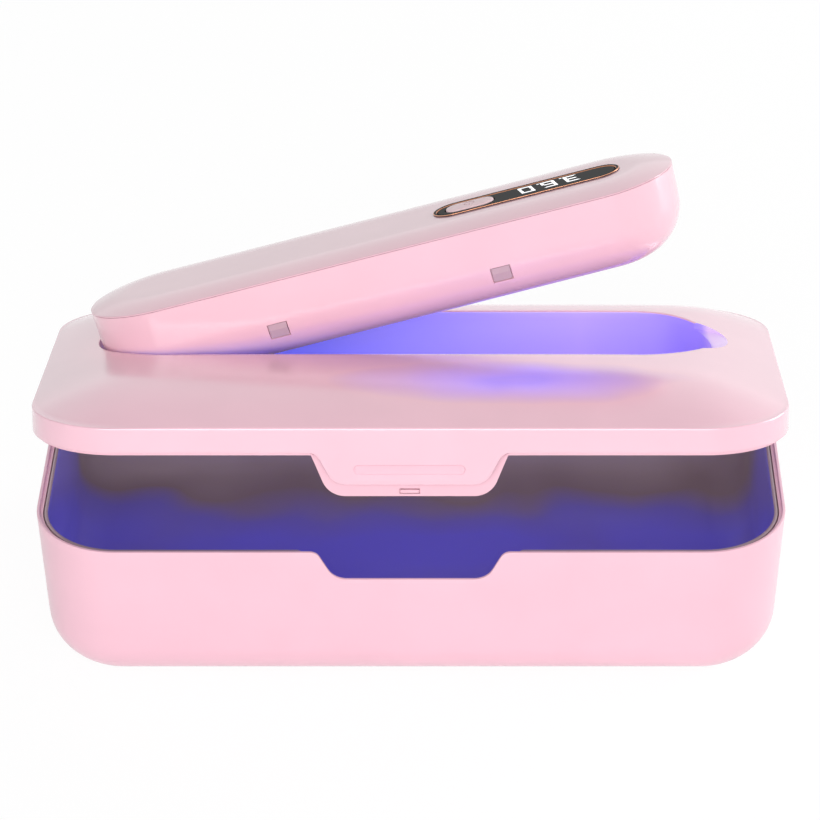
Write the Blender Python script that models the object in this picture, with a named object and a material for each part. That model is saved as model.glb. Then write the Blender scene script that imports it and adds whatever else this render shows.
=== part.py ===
# UV sterilizer box: a drafted tub with a liner, a hinged crowned lid with a dock
# slot, and a detachable lamp wand with a display, all as separate pieces.
# Metres, +Z up. The origin is the middle of the tub's footprint, on the surface
# that the rubber feet stand on. The front, with the notch, faces -Y.
# Pieces are modelled with the lid shut and the wand docked; the two empties
# then turn the lid and the wand to their places at rest.

from math import asin, copysign, cos, pi, radians, sin, sqrt, tan

import bmesh
import bpy
from mathutils import Matrix, Vector

# Clearances shared by the whole box
CLEARANCE = 0.0003
OVERRUN = 0.0040
WELD_DISTANCE = 0.00001

# Wand, the driving size of the dock and of the box's length
WAND_LENGTH = 0.1830
WAND_WIDTH = 0.0458
WAND_HEIGHT = 0.02566
WAND_DRAFT = radians(1.89)
WAND_FILLET = 0.01606
WAND_WALL = 0.0020
WAND_EDGE = 0.0002
WAND_LAND = 0.0003
WAND_CROWN_HEIGHT = 0.0018
WAND_CROWN_INSET = 0.0120
WAND_CROWN_POWER = 1.90
WAND_COVER_THICKNESS = 0.0014
WAND_RIB_DEPTH = 0.0024
WAND_RIB_WALL = 0.0012

# Dock slot, with room for a finger at its right end
DOCK_LEFT_GAP = 0.0009
DOCK_RIGHT_GAP = 0.0040
DOCK_SIDE_GAP = 0.0011
DOCK_SETBACK = 0.0073
DOCK_CREASE_HEIGHT = 0.0200
DOCK_LEFT_MARGIN = 0.0160
DOCK_RIGHT_MARGIN = 0.0201
TRAY_WALL = 0.0015
TRAY_LEDGE = 0.0040
TRAY_FLOOR = 0.0015
BELLY_GAP = 0.0006
TRAY_FLANGE = 0.0035
TRAY_FLANGE_THICKNESS = 0.0012
TRAY_RAMP_LENGTH = 0.0040
TRAY_RAMP_DROP = 0.0075
COLLAR_WALL = 0.0034
COLLAR_REACH = 0.0050
SCOOP_RADIUS = 0.0152
SCOOP_REACH = 0.0049
SCOOP_DEPTH = 0.0040
SCOOP_FLOOR_RADIUS = 0.0030

# Tub and its liner
BOX_DEPTH = 0.1280
TUB_HEIGHT = 0.0500
TUB_CORNER = 0.0253
TUB_DRAFT = radians(3.05)
TUB_FILLET = 0.0164
TUB_FLOOR = 0.0020
SHELL_WALL = 0.0018
RIM_STRIP = 0.0005
RIM_LAND = 0.0009
REBATE_DEPTH = 0.0012
LINER_WALL = 0.0012
LINER_DROP = 0.0010
LINER_RAISE = 0.0030

# Notch in the front wall and the lid's two tabs that meet it
NOTCH_TOP_WIDTH = 0.0590
NOTCH_BOTTOM_WIDTH = 0.0385
NOTCH_DEPTH = 0.0098
TAB_GAP = 0.00035
INNER_TAB_MARGIN = 0.0030
INNER_TAB_DROP = 0.00395
INNER_TAB_THICKNESS = 0.0016
INNER_TAB_SWING_ROOM = 0.0011
LINER_NOTCH_MARGIN = 0.0010
GRIP_BAR_LENGTH = 0.0325
GRIP_BAR_HEIGHT = 0.0030
GRIP_BAR_DROP = 0.0050
GRIP_BAR_PROUD = 0.0005
CATCH_WIDTH = 0.0054
CATCH_HEIGHT = 0.0010
CATCH_THICKNESS = 0.0009
CATCH_PROUD = 0.00025
CATCH_DROP = 0.0019

# Lid
COVER_CORNER = 0.0263
COVER_BAND = 0.0077
COVER_GAP = 0.0003
COVER_WALL = 0.0018
COVER_CROWN_HEIGHT = 0.0086
COVER_CROWN_INSET = 0.0254
COVER_CROWN_POWER = 1.28
COVER_INNER_DROP = 0.0012
FRAME_FLANGE_INSET = 0.00125
FRAME_REACH = 0.0006
FRAME_FLANGE_HEIGHT = 0.0006
FRAME_WALL = 0.0012
FRAME_TOP = 0.0060
FRAME_PLATE = 0.0012
REFLECTOR_THICKNESS = 0.0008
REFLECTOR_MARGIN = 0.0020
LID_BOSS_RADIUS = 0.0033
LID_BOSS_END_INSET = 0.0280
LID_BOSS_FRONT_INSET = 0.0220
LID_BOSS_BACK_INSET = 0.0130
LID_BOSS_BORE_DEPTH = 0.0040

# Hinges, on the back
HINGE_END_INSET = 0.0520
HINGE_BARREL_RADIUS = 0.0030
HINGE_AXIS_RISE = 0.0005
HINGE_AXIS_GAP = 0.0005
HINGE_LID_KNUCKLE = 0.0100
HINGE_TUB_KNUCKLE = 0.0065
HINGE_KNUCKLE_GAP = 0.0004
HINGE_WEB_DROP = 0.0050
HINGE_WEB_RISE = 0.0032
HINGE_PIN_RADIUS = 0.00095
HINGE_BORE_RADIUS = 0.00130

# Screws and feet
SCREW_HEAD_RADIUS = 0.0022
SCREW_HEAD_HEIGHT = 0.0013
SCREW_SHAFT_RADIUS = 0.0010
SCREW_SOCKET_RADIUS = 0.0011
SCREW_SOCKET_DEPTH = 0.0007
BASE_SCREW_SHAFT = 0.0032
LID_SCREW_SHAFT = 0.0047
WAND_SCREW_SHAFT = 0.0168
BASE_SCREW_END_INSET = 0.0520
BASE_SCREW_SIDE_INSET = 0.0340
BASE_BOSS_RADIUS = 0.0045
BASE_BOSS_HEIGHT = 0.0012
LINER_POST_RADIUS = 0.0030
LINER_BORE_DEPTH = 0.0021
FOOT_RADIUS = 0.0060
FOOT_PROUD = 0.0008
FOOT_SEAT_DEPTH = 0.0012
FOOT_END_INSET = 0.0320
FOOT_SIDE_INSET = 0.0300

# Display, its bezel and the button, on the wand
PANEL_END_INSET = 0.0158
BEZEL_LENGTH = 0.0583
BEZEL_WIDTH = 0.0138
BEZEL_LIP = 0.0010
BEZEL_RING = 0.0011
BEZEL_PROUD = 0.00045
BEZEL_SLEEVE_DEPTH = 0.0021
BEZEL_LEDGE = 0.0008
PANEL_THICKNESS = 0.0012
PANEL_SUNK = 0.0002
BUTTON_LENGTH = 0.0166
BUTTON_WIDTH = 0.0086
BUTTON_END_INSET = 0.0027
BUTTON_CAP_HEIGHT = 0.0014
BUTTON_PROUD = 0.0006
BUTTON_EDGE = 0.0005
BUTTON_STEM_RADIUS = 0.0015
BUTTON_STEM_LENGTH = 0.0018
BUTTON_TRAVEL = 0.0006
MODULE_LENGTH = 0.0260
MODULE_WIDTH = 0.0084

# Inside the wand
BOARD_THICKNESS = 0.0016
MAIN_BOARD_LENGTH = 0.0600
MAIN_BOARD_WIDTH = 0.0300
MAIN_BOARD_DROP = 0.0022
BOARD_RIB_THICKNESS = 0.0016
BOARD_RIB_INSET = 0.0060
SWITCH_SIZE = 0.0060
BATTERY_RADIUS = 0.0092
BATTERY_LENGTH = 0.0650
BATTERY_DROP = 0.0093
BATTERY_END_INSET = 0.0200
CRADLE_THICKNESS = 0.0020
CRADLE_INSET = 0.0100
LED_BOARD_LENGTH = 0.1180
LED_BOARD_WIDTH = 0.0110
LED_COUNT = 6
LED_SIZE = 0.0035
LED_HEIGHT = 0.0013
WINDOW_LENGTH = 0.1240
WINDOW_WIDTH = 0.0080
WINDOW_FLANGE = 0.0015
WINDOW_FLANGE_THICKNESS = 0.0010
WINDOW_SUNK = 0.0002
WAND_POST_RADIUS = 0.0040
WAND_BOSS_RADIUS = 0.0030
WAND_BOSS_BOTTOM = 0.0080
WAND_POST_END_INSET = 0.0095
WAND_SCREW_RECESS = 0.0036
WAND_BORE_DEPTH = 0.0045
COUNTERBORE_GAP = 0.0004
SIDE_PAD_LENGTH = 0.0056
SIDE_PAD_HEIGHT = 0.0049
SIDE_PAD_THICKNESS = 0.0010
SIDE_PAD_SPACING = 0.0693
SIDE_PAD_SHIFT = -0.0005
SIDE_PAD_DROP = 0.0155
USB_WIDTH = 0.0090
USB_HEIGHT = 0.0032
USB_DEPTH = 0.0073
USB_WALL = 0.0004
USB_SUNK = 0.0006
USB_END_INSET = 0.0340
USB_TONGUE_THICKNESS = 0.0007

# Places at rest: how far the lid stands open and the wand is lifted
LID_OPEN = radians(13.91)
WAND_LIFT = radians(14.72)
TILT_AXIS_BEYOND = 0.0154
TILT_AXIS_BELOW = 0.0105

# Facet counts and the steps of curved profiles
CORNER_FACETS = 32
STADIUM_FACETS = 28
ROD_FACETS = 12
SMALL_FACETS = 8
FILLET_STEPS = 5
HIDDEN_FILLET_STEPS = 3
NOTCH_STEPS = 6
CROWN_STEP_SHARES = (0.2, 0.42, 0.62, 0.78, 0.9, 0.97, 1.0)
INNER_CROWN_STEP_SHARES = (0.45, 0.8, 1.0)
SHARP_ANGLE = radians(32)

# Sizes that follow from the ones above
RIM = FOOT_PROUD + TUB_HEIGHT
DOCK_HALF_LENGTH = (WAND_LENGTH + DOCK_LEFT_GAP + DOCK_RIGHT_GAP) / 2
DOCK_HALF_WIDTH = WAND_WIDTH / 2 + DOCK_SIDE_GAP
BOX_HALF_LENGTH = DOCK_HALF_LENGTH + (DOCK_LEFT_MARGIN + DOCK_RIGHT_MARGIN) / 2
DOCK_X = (DOCK_LEFT_MARGIN - DOCK_RIGHT_MARGIN) / 2
DOCK_LEFT = DOCK_X - DOCK_HALF_LENGTH
DOCK_RIGHT = DOCK_X + DOCK_HALF_LENGTH
BOX_HALF_DEPTH = BOX_DEPTH / 2
FRONT_FACE = -BOX_HALF_DEPTH
COVER_BOTTOM = RIM + COVER_GAP
COVER_CREASE = COVER_BOTTOM + COVER_BAND
COVER_TOP = COVER_CREASE + COVER_CROWN_HEIGHT
FRAME_UPSTAND_INSET = COVER_WALL + CLEARANCE
FRAME_BOTTOM = RIM - FRAME_REACH
FRAME_PLATE_TOP = RIM + FRAME_TOP
FRAME_CEILING = FRAME_PLATE_TOP - FRAME_PLATE
LID_BOSS_BOTTOM = FRAME_PLATE_TOP + CLEARANCE
HINGE_Y = BOX_HALF_DEPTH + HINGE_BARREL_RADIUS + HINGE_AXIS_GAP
HINGE_Z = RIM + HINGE_AXIS_RISE
HINGE_X = BOX_HALF_LENGTH - HINGE_END_INSET
DOCKED_X = DOCK_LEFT + DOCK_LEFT_GAP + WAND_LENGTH / 2
DOCKED_Z = RIM + DOCK_CREASE_HEIGHT
TILT_X = DOCK_LEFT + DOCK_LEFT_GAP - TILT_AXIS_BEYOND
TILT_Z = DOCKED_Z - TILT_AXIS_BELOW
BASE_SCREW_X = BOX_HALF_LENGTH - BASE_SCREW_END_INSET
BASE_SCREW_Y = BOX_HALF_DEPTH - BASE_SCREW_SIDE_INSET
FOOT_X = BOX_HALF_LENGTH - FOOT_END_INSET
FOOT_Y = BOX_HALF_DEPTH - FOOT_SIDE_INSET
LINER_BOTTOM = FOOT_PROUD + TUB_FLOOR + LINER_RAISE
SCREW_HOLE_RADIUS = SCREW_SHAFT_RADIUS + CLEARANCE
HEAD_HOLE_RADIUS = SCREW_HEAD_RADIUS + COUNTERBORE_GAP
HEAD_HOLE_DEPTH = SCREW_HEAD_HEIGHT + CLEARANCE

# Heights and places in the wand's own frame, whose origin is the middle of its
# crease, between the crowned cover and the shell
CREASE_HALF_GAP = CLEARANCE / 2
COVER_EDGE_TOP = CREASE_HALF_GAP + WAND_EDGE
WAND_TOP = COVER_EDGE_TOP + WAND_CROWN_HEIGHT
WAND_HALF_LENGTH = WAND_LENGTH / 2
WAND_HALF_WIDTH = WAND_WIDTH / 2
WAND_BOTTOM = -WAND_HEIGHT
WAND_INNER_FLOOR = WAND_BOTTOM + WAND_WALL
PANEL_X = WAND_HALF_LENGTH - PANEL_END_INSET - BEZEL_LENGTH / 2
BEZEL_TOP = WAND_TOP + CLEARANCE + BEZEL_PROUD
BEZEL_BOTTOM = WAND_TOP - BEZEL_SLEEVE_DEPTH
PANEL_TOP = BEZEL_TOP - PANEL_SUNK
PANEL_BOTTOM = PANEL_TOP - PANEL_THICKNESS
BUTTON_TOP = PANEL_TOP + BUTTON_PROUD
BUTTON_BOTTOM = BUTTON_TOP - BUTTON_CAP_HEIGHT
PANEL_HALF_LENGTH = BEZEL_LENGTH / 2 - BEZEL_RING - CLEARANCE
PANEL_HALF_WIDTH = BEZEL_WIDTH / 2 - BEZEL_RING - CLEARANCE
BUTTON_X = PANEL_X - PANEL_HALF_LENGTH + BUTTON_END_INSET + BUTTON_LENGTH / 2
MODULE_X = PANEL_X + PANEL_HALF_LENGTH - BUTTON_END_INSET - BEZEL_LEDGE - MODULE_LENGTH / 2
MAIN_BOARD_TOP = -MAIN_BOARD_DROP
MAIN_BOARD_BOTTOM = MAIN_BOARD_TOP - BOARD_THICKNESS
WINDOW_BOTTOM = WAND_BOTTOM + WINDOW_SUNK
WINDOW_FLANGE_BOTTOM = WAND_INNER_FLOOR + CLEARANCE
WINDOW_TOP = WINDOW_FLANGE_BOTTOM + WINDOW_FLANGE_THICKNESS
LED_BOTTOM = WINDOW_TOP + CLEARANCE
LED_BOARD_BOTTOM = LED_BOTTOM + LED_HEIGHT + CLEARANCE
LED_BOARD_TOP = LED_BOARD_BOTTOM + BOARD_THICKNESS
BATTERY_X = -WAND_HALF_LENGTH + BATTERY_END_INSET + BATTERY_LENGTH / 2
WAND_POST_X = WAND_HALF_LENGTH - WAND_POST_END_INSET
USB_X = WAND_HALF_LENGTH - USB_END_INSET
USB_MOUTH_Y = WAND_HALF_WIDTH - USB_SUNK
USB_TOP = MAIN_BOARD_BOTTOM - CLEARANCE
WAND_POST_TOP = -WAND_BOSS_BOTTOM - CLEARANCE

PINK = (0.96, 0.62, 0.72)
PALE_PINK = (0.95, 0.66, 0.74)
LINER_COLOUR = (0.20, 0.15, 0.22)
INNER_PINK = (0.55, 0.38, 0.44)
VIOLET = (0.32, 0.24, 0.95)
STEEL_COLOUR = (0.62, 0.62, 0.64)
RUBBER_COLOUR = (0.08, 0.07, 0.08)
COPPER_COLOUR = (0.80, 0.42, 0.28)
BLACK_COLOUR = (0.012, 0.012, 0.014)
BOARD_COLOUR = (0.02, 0.12, 0.05)
BATTERY_COLOUR = (0.10, 0.22, 0.55)
PAD_COLOUR = (0.66, 0.45, 0.52)


def clear_scene():
    """Remove whatever the file holds."""
    for obj in list(bpy.data.objects):
        bpy.data.objects.remove(obj, do_unlink=True)


def new_collection(name):
    """Add a collection to the scene."""
    collection = bpy.data.collections.new(name)
    bpy.context.scene.collection.children.link(collection)
    return collection


def make_material(name, colour, roughness, metallic=0.0):
    """Plain Principled material of one colour."""
    material = bpy.data.materials.new(name)
    material.use_nodes = True
    shader = material.node_tree.nodes["Principled BSDF"]
    shader.inputs["Base Color"].default_value = (*colour, 1.0)
    shader.inputs["Roughness"].default_value = roughness
    shader.inputs["Metallic"].default_value = metallic
    return material


def make_materials():
    """Every material of the box, by its short name."""
    return {
        "pink": make_material("pink_plastic", PINK, 0.30),
        "pale": make_material("wand_pink_plastic", PALE_PINK, 0.30),
        "liner": make_material("liner_plastic", LINER_COLOUR, 0.25),
        "inner": make_material("lid_inner_plastic", INNER_PINK, 0.40),
        "dock": make_material("dock_plastic", VIOLET, 0.35),
        "mirror": make_material("reflector_film", STEEL_COLOUR, 0.08, 1.0),
        "steel": make_material("screw_steel", STEEL_COLOUR, 0.35, 1.0),
        "rubber": make_material("foot_rubber", RUBBER_COLOUR, 0.85),
        "copper": make_material("bezel_metal", COPPER_COLOUR, 0.20, 1.0),
        "glass": make_material("display_glass", BLACK_COLOUR, 0.05),
        "board": make_material("circuit_board", BOARD_COLOUR, 0.50),
        "battery": make_material("battery_wrap", BATTERY_COLOUR, 0.35),
        "pad": make_material("side_pad_plastic", PAD_COLOUR, 0.45),
        "lamp": make_material("lamp_window_glass", VIOLET, 0.10),
    }


def add_mesh_object(name, shape, collection):
    """Turn a bmesh into an object, smooth where it is round."""
    bmesh.ops.recalc_face_normals(shape, faces=shape.faces)
    mesh = bpy.data.meshes.new(name)
    shape.to_mesh(mesh)
    shape.free()
    mesh.shade_smooth()
    mesh.set_sharp_from_angle(angle=SHARP_ANGLE)
    obj = bpy.data.objects.new(name, mesh)
    collection.objects.link(obj)
    return obj


def join_frame(obj, frame):
    """Hang an object on a frame's empty, keeping the coordinates it was made in."""
    if frame is not None:
        axis, offset = frame
        obj.parent = axis
        obj.location = obj.location + offset


def add_piece(name, shape, look, frame=None, place=None):
    """One sub-part of the box, in the object's collection."""
    obj = add_mesh_object(name, shape, PARTS)
    obj.data.materials.append(look)
    if place is not None:
        obj.location = Vector(place)
    join_frame(obj, frame)
    return obj


def add_tool(name, shape, frame=None):
    """A solid that only cuts, fills or trims another one."""
    obj = add_mesh_object(name, shape, TOOLS)
    obj.hide_render = True
    obj.display_type = "WIRE"
    join_frame(obj, frame)
    return obj


def combine(target, tool, operation):
    """Boolean of one object by another."""
    modifier = target.modifiers.new(tool.name, "BOOLEAN")
    modifier.operation = operation
    modifier.solver = "EXACT"
    modifier.object = tool


def cut(target, name, shape, frame=None):
    """Take a shape out of an object."""
    combine(target, add_tool(name, shape, frame), "DIFFERENCE")


def fuse(target, name, shape, frame=None):
    """Add a shape to an object."""
    combine(target, add_tool(name, shape, frame), "UNION")


def block(low, high):
    """Box between two corners."""
    shape = bmesh.new()
    bmesh.ops.create_cube(shape, size=1)
    size = [end - start for start, end in zip(low, high)]
    middle = [(end + start) / 2 for start, end in zip(low, high)]
    bmesh.ops.scale(shape, vec=size, verts=shape.verts)
    bmesh.ops.translate(shape, vec=middle, verts=shape.verts)
    return shape


def rod(radius, low, high, place=(0, 0), axis="Z", facets=ROD_FACETS, end_radius=None):
    """Cylinder or cone between two heights along an axis."""
    shape = bmesh.new()
    turn = {"Z": Matrix(), "X": Matrix.Rotation(pi / 2, 4, "Y"), "Y": Matrix.Rotation(-pi / 2, 4, "X")}[axis]
    middle = (low + high) / 2
    centre = {
        "Z": (place[0], place[1], middle),
        "X": (middle, place[0], place[1]),
        "Y": (place[0], middle, place[1]),
    }[axis]
    bmesh.ops.create_cone(
        shape,
        cap_ends=True,
        segments=facets,
        radius1=radius,
        radius2=radius if end_radius is None else end_radius,
        depth=high - low,
        matrix=Matrix.Translation(centre) @ turn,
    )
    return shape


def rounded_block(half_x, half_y, corner, low, high, centre=(0, 0), facets=CORNER_FACETS):
    """Upright prism with a rounded outline: a cylinder drawn apart into four corners.
    With half_y equal to the corner radius it is a stadium."""
    half_step = pi / facets
    shape = rod(corner / cos(half_step), low, high, facets=facets)
    bmesh.ops.rotate(shape, cent=(0, 0, 0), matrix=Matrix.Rotation(half_step, 3, "Z"), verts=shape.verts)
    for vert in shape.verts:
        vert.co.x += centre[0] + copysign(half_x - corner, vert.co.x)
        vert.co.y += centre[1] + copysign(half_y - corner, vert.co.y)
    return shape


def end_face(shape, side):
    """The flat end of a prism: side 1 is the top, side -1 the bottom."""
    ends = [face for face in shape.faces if len(face.verts) > 4 or len(shape.faces) == 6]
    return max(ends, key=lambda face: side * face.calc_center_median().z)


def grow(shape, side, profile):
    """Carry an end of a prism on through a profile of (inset, rise) from its start."""
    shape.normal_update()
    face = end_face(shape, side)
    last_inset = 0.0
    last_rise = 0.0
    for inset, rise in profile:
        bmesh.ops.inset_region(
            shape,
            faces=[face],
            thickness=inset - last_inset,
            depth=rise - last_rise,
            use_even_offset=True,
            use_boundary=True,
        )
        last_inset = inset
        last_rise = rise
    return shape


def crown_profile(height, inset, power, shares=CROWN_STEP_SHARES):
    """Steps of a crowned top: steep at its edge and flat at its middle."""
    return [(inset * share, height * (1 - (1 - share) ** power)) for share in shares]


def fillet_centre_inset(depth, draft, fillet):
    """How far in from its top edge a leaning wall's fillet has its centre."""
    return fillet * cos(draft) + (depth - fillet + fillet * sin(draft)) * tan(draft)


def drafted_profile(depth, draft, fillet, step_count=FILLET_STEPS):
    """Steps of a leaning wall that ends in a fillet to a flat floor."""
    centre = fillet_centre_inset(depth, draft, fillet)
    steps = []
    for step in range(step_count + 1):
        angle = draft + (pi / 2 - draft) * step / step_count
        inset = centre - fillet * cos(angle)
        drop = depth - fillet + fillet * sin(angle)
        steps.append((inset, drop))
    return steps


def belly_half_width(height):
    """Half width of the wand's belly at a height above its lowest face, in its fillet."""
    centre = WAND_HALF_WIDTH - fillet_centre_inset(WAND_HEIGHT, WAND_DRAFT, WAND_FILLET)
    return centre + sqrt(WAND_FILLET**2 - (WAND_FILLET - height) ** 2)


def outline_plate(points, front, back):
    """Flat plate whose outline is seen from the front, between two depths."""
    curve = bpy.data.curves.new("outline", "CURVE")
    curve.dimensions = "2D"
    curve.fill_mode = "BOTH"
    curve.extrude = (back - front) / 2
    spline = curve.splines.new("POLY")
    spline.points.add(len(points) - 1)
    for point, (x, z) in zip(spline.points, points):
        point.co = (x, z, 0, 1)
    spline.use_cyclic_u = True
    holder = bpy.data.objects.new("outline", curve)
    TOOLS.objects.link(holder)
    bpy.context.view_layer.update()
    mesh = bpy.data.meshes.new_from_object(holder.evaluated_get(bpy.context.evaluated_depsgraph_get()))
    shape = bmesh.new()
    shape.from_mesh(mesh)
    bmesh.ops.remove_doubles(shape, verts=shape.verts, dist=WELD_DISTANCE)
    bmesh.ops.rotate(shape, cent=(0, 0, 0), matrix=Matrix.Rotation(pi / 2, 3, "X"), verts=shape.verts)
    bmesh.ops.translate(shape, vec=(0, (front + back) / 2, 0), verts=shape.verts)
    bpy.data.objects.remove(holder, do_unlink=True)
    bpy.data.curves.remove(curve)
    bpy.data.meshes.remove(mesh)
    return shape


def s_curve_outline(top_half, bottom_half, low, high, above):
    """Outline of a notch or tab with S-curved sides, carried straight up at its top."""
    side = []
    for step in range(NOTCH_STEPS + 1):
        share = step / NOTCH_STEPS
        x = bottom_half + (top_half - bottom_half) * share
        z = low + (high - low) * share * share * (3 - 2 * share)
        side.append((x, z))
    side.append((top_half, high + above))
    mirrored = [(-x, z) for x, z in reversed(side)]
    return side + mirrored


def basin(inset, top, bottom, fillet, above=0.0, step_count=FILLET_STEPS):
    """The tub's drafted form, set in from its outside, between two heights."""
    lean = inset + tan(TUB_DRAFT) * max(RIM - top - RIM_STRIP, 0.0)
    shape = rounded_block(
        BOX_HALF_LENGTH - lean,
        BOX_HALF_DEPTH - lean,
        TUB_CORNER - lean,
        top - RIM_STRIP,
        top + above,
    )
    return grow(shape, -1, drafted_profile(top - RIM_STRIP - bottom, TUB_DRAFT, fillet, step_count))


def wall_lean(depth):
    """How far the tub's walls lean in at a depth below the rim."""
    return tan(TUB_DRAFT) * max(depth - RIM_STRIP, 0.0)


def screw_shape(shaft_length):
    """Socket screw that stands on its head, with its shaft upwards."""
    shape = rod(SCREW_HEAD_RADIUS, 0.0, SCREW_HEAD_HEIGHT, facets=SMALL_FACETS)
    step_in = SCREW_HEAD_RADIUS - SCREW_SHAFT_RADIUS
    grow(shape, 1, [(step_in, 0.0), (step_in, shaft_length)])
    socket_in = SCREW_HEAD_RADIUS - SCREW_SOCKET_RADIUS
    grow(shape, -1, [(socket_in, 0.0), (socket_in, -SCREW_SOCKET_DEPTH)])
    return shape


def screw_places_on_base():
    """Centres of the four screws under the tub, with their names."""
    return [
        ("front_left", -BASE_SCREW_X, -BASE_SCREW_Y),
        ("front_right", BASE_SCREW_X, -BASE_SCREW_Y),
        ("back_left", -BASE_SCREW_X, BASE_SCREW_Y),
        ("back_right", BASE_SCREW_X, BASE_SCREW_Y),
    ]


def screw_places_in_lid():
    """Centres of the six screws that hold the lid's inner frame, with their names."""
    end = BOX_HALF_LENGTH - LID_BOSS_END_INSET
    front = FRONT_FACE + LID_BOSS_FRONT_INSET
    back = BOX_HALF_DEPTH - LID_BOSS_BACK_INSET
    return [
        ("front_left", -end, front),
        ("front_middle", 0.0, front),
        ("front_right", end, front),
        ("back_left", -end, back),
        ("back_middle", 0.0, back),
        ("back_right", end, back),
    ]


def hinge_spans():
    """Along each hinge: the lid's knuckle and the two of the tub."""
    lid_half = HINGE_LID_KNUCKLE / 2
    start = lid_half + HINGE_KNUCKLE_GAP
    end = start + HINGE_TUB_KNUCKLE
    return (-lid_half, lid_half), [(-end, -start), (start, end)]


def add_knuckle(target, name, start, end, web_low, web_high, frame=None):
    """One barrel of a hinge, with the web that joins it to a wall."""
    web_front = BOX_HALF_DEPTH - SHELL_WALL / 2
    web = block((start, web_front, web_low), (end, HINGE_Y, web_high))
    fuse(target, name + "_web", web, frame)
    barrel = rod(HINGE_BARREL_RADIUS, start, end, (HINGE_Y, HINGE_Z), "X")
    fuse(target, name + "_barrel", barrel, frame)


def bore_hinges(target, name, frame=None):
    """Pin bores through both hinges."""
    _, tub_spans = hinge_spans()
    reach = tub_spans[1][1] + OVERRUN
    for side, centre in hinge_sides():
        bore = rod(HINGE_BORE_RADIUS, centre - reach, centre + reach, (HINGE_Y, HINGE_Z), "X")
        cut(target, f"{name}_{side}_bore", bore, frame)


def hinge_sides():
    """The two hinges: name and place along the box."""
    return [("left", -HINGE_X), ("right", HINGE_X)]


def tub_inside():
    """Inside of the tub's shell, with the bosses on its floor left out."""
    floor = FOOT_PROUD + TUB_FLOOR
    form = basin(SHELL_WALL, RIM, floor, TUB_FILLET - SHELL_WALL, OVERRUN, HIDDEN_FILLET_STEPS)
    hollow = add_tool("tub_hollow", form)
    for name, x, y in screw_places_on_base():
        boss = rod(BASE_BOSS_RADIUS, floor - TUB_FLOOR / 2, floor + BASE_BOSS_HEIGHT, (x, y))
        cut(hollow, f"tub_boss_{name}", boss)
    return hollow


def cut_tub_rim(shell):
    """Rebate for the lid's flange, and the notch in the front wall."""
    rebate = rounded_block(
        BOX_HALF_LENGTH - RIM_LAND,
        BOX_HALF_DEPTH - RIM_LAND,
        TUB_CORNER - RIM_LAND,
        RIM - REBATE_DEPTH,
        RIM + OVERRUN,
    )
    cut(shell, "tub_rebate", rebate)
    notch = s_curve_outline(NOTCH_TOP_WIDTH / 2, NOTCH_BOTTOM_WIDTH / 2, RIM - NOTCH_DEPTH, RIM, OVERRUN)
    cut(shell, "tub_notch", outline_plate(notch, FRONT_FACE - OVERRUN, FRONT_FACE + SHELL_WALL + OVERRUN))


def cut_tub_base(shell):
    """Screw holes and foot seats in the tub's underside."""
    hole_top = FOOT_PROUD + TUB_FLOOR + BASE_BOSS_HEIGHT + OVERRUN
    for name, x, y in screw_places_on_base():
        head = rod(HEAD_HOLE_RADIUS, -OVERRUN, FOOT_PROUD + HEAD_HOLE_DEPTH, (x, y))
        cut(shell, f"tub_head_hole_{name}", head)
        hole = rod(SCREW_HOLE_RADIUS, 0.0, hole_top, (x, y), facets=SMALL_FACETS)
        cut(shell, f"tub_screw_hole_{name}", hole)
    for name, x, y in foot_places():
        seat = rod(
            FOOT_RADIUS + CLEARANCE,
            -OVERRUN,
            FOOT_PROUD + FOOT_SEAT_DEPTH,
            (x, y),
            facets=STADIUM_FACETS,
        )
        cut(shell, f"tub_foot_seat_{name}", seat)


def make_tub_shell(looks):
    """Outer shell: drafted walls, rim rebate, front notch, base bosses and hinge barrels."""
    shell = add_piece("tub_shell", basin(0.0, RIM, FOOT_PROUD, TUB_FILLET), looks["pink"])
    combine(shell, tub_inside(), "DIFFERENCE")
    cut_tub_rim(shell)
    cut_tub_base(shell)
    _, spans = hinge_spans()
    for side, centre in hinge_sides():
        for number, (start, end) in enumerate(spans):
            name = f"tub_knuckle_{side}_{number}"
            add_knuckle(shell, name, centre + start, centre + end, RIM - HINGE_WEB_DROP, RIM)
    bore_hinges(shell, "tub_hinge")


def make_tub_liner(looks):
    """Glossy liner that stands on the shell's floor by four screw posts."""
    top = RIM - LINER_DROP
    inset = SHELL_WALL + CLEARANCE
    outer = basin(inset, top, LINER_BOTTOM, TUB_FILLET - inset, step_count=HIDDEN_FILLET_STEPS)
    liner = add_piece("tub_liner", outer, looks["liner"])
    hollow_inset = inset + LINER_WALL
    hollow = basin(hollow_inset, top, LINER_BOTTOM + LINER_WALL, TUB_FILLET - hollow_inset, OVERRUN)
    cut(liner, "liner_hollow", hollow)
    wider = INNER_TAB_MARGIN + LINER_NOTCH_MARGIN
    notch = s_curve_outline(
        NOTCH_TOP_WIDTH / 2 + wider,
        NOTCH_BOTTOM_WIDTH / 2 + wider,
        RIM - NOTCH_DEPTH - INNER_TAB_DROP - LINER_NOTCH_MARGIN,
        RIM,
        OVERRUN,
    )
    cut(liner, "liner_notch", outline_plate(notch, FRONT_FACE, FRONT_FACE + hollow_inset + OVERRUN))
    post_low = FOOT_PROUD + TUB_FLOOR + BASE_BOSS_HEIGHT + CLEARANCE
    for name, x, y in screw_places_on_base():
        post = rod(LINER_POST_RADIUS, post_low, LINER_BOTTOM + LINER_WALL / 2, (x, y))
        fuse(liner, f"liner_post_{name}", post)
        bore_top = post_low + LINER_BORE_DEPTH
        bore = rod(SCREW_HOLE_RADIUS, post_low - OVERRUN, bore_top, (x, y), facets=SMALL_FACETS)
        cut(liner, f"liner_bore_{name}", bore)


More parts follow.
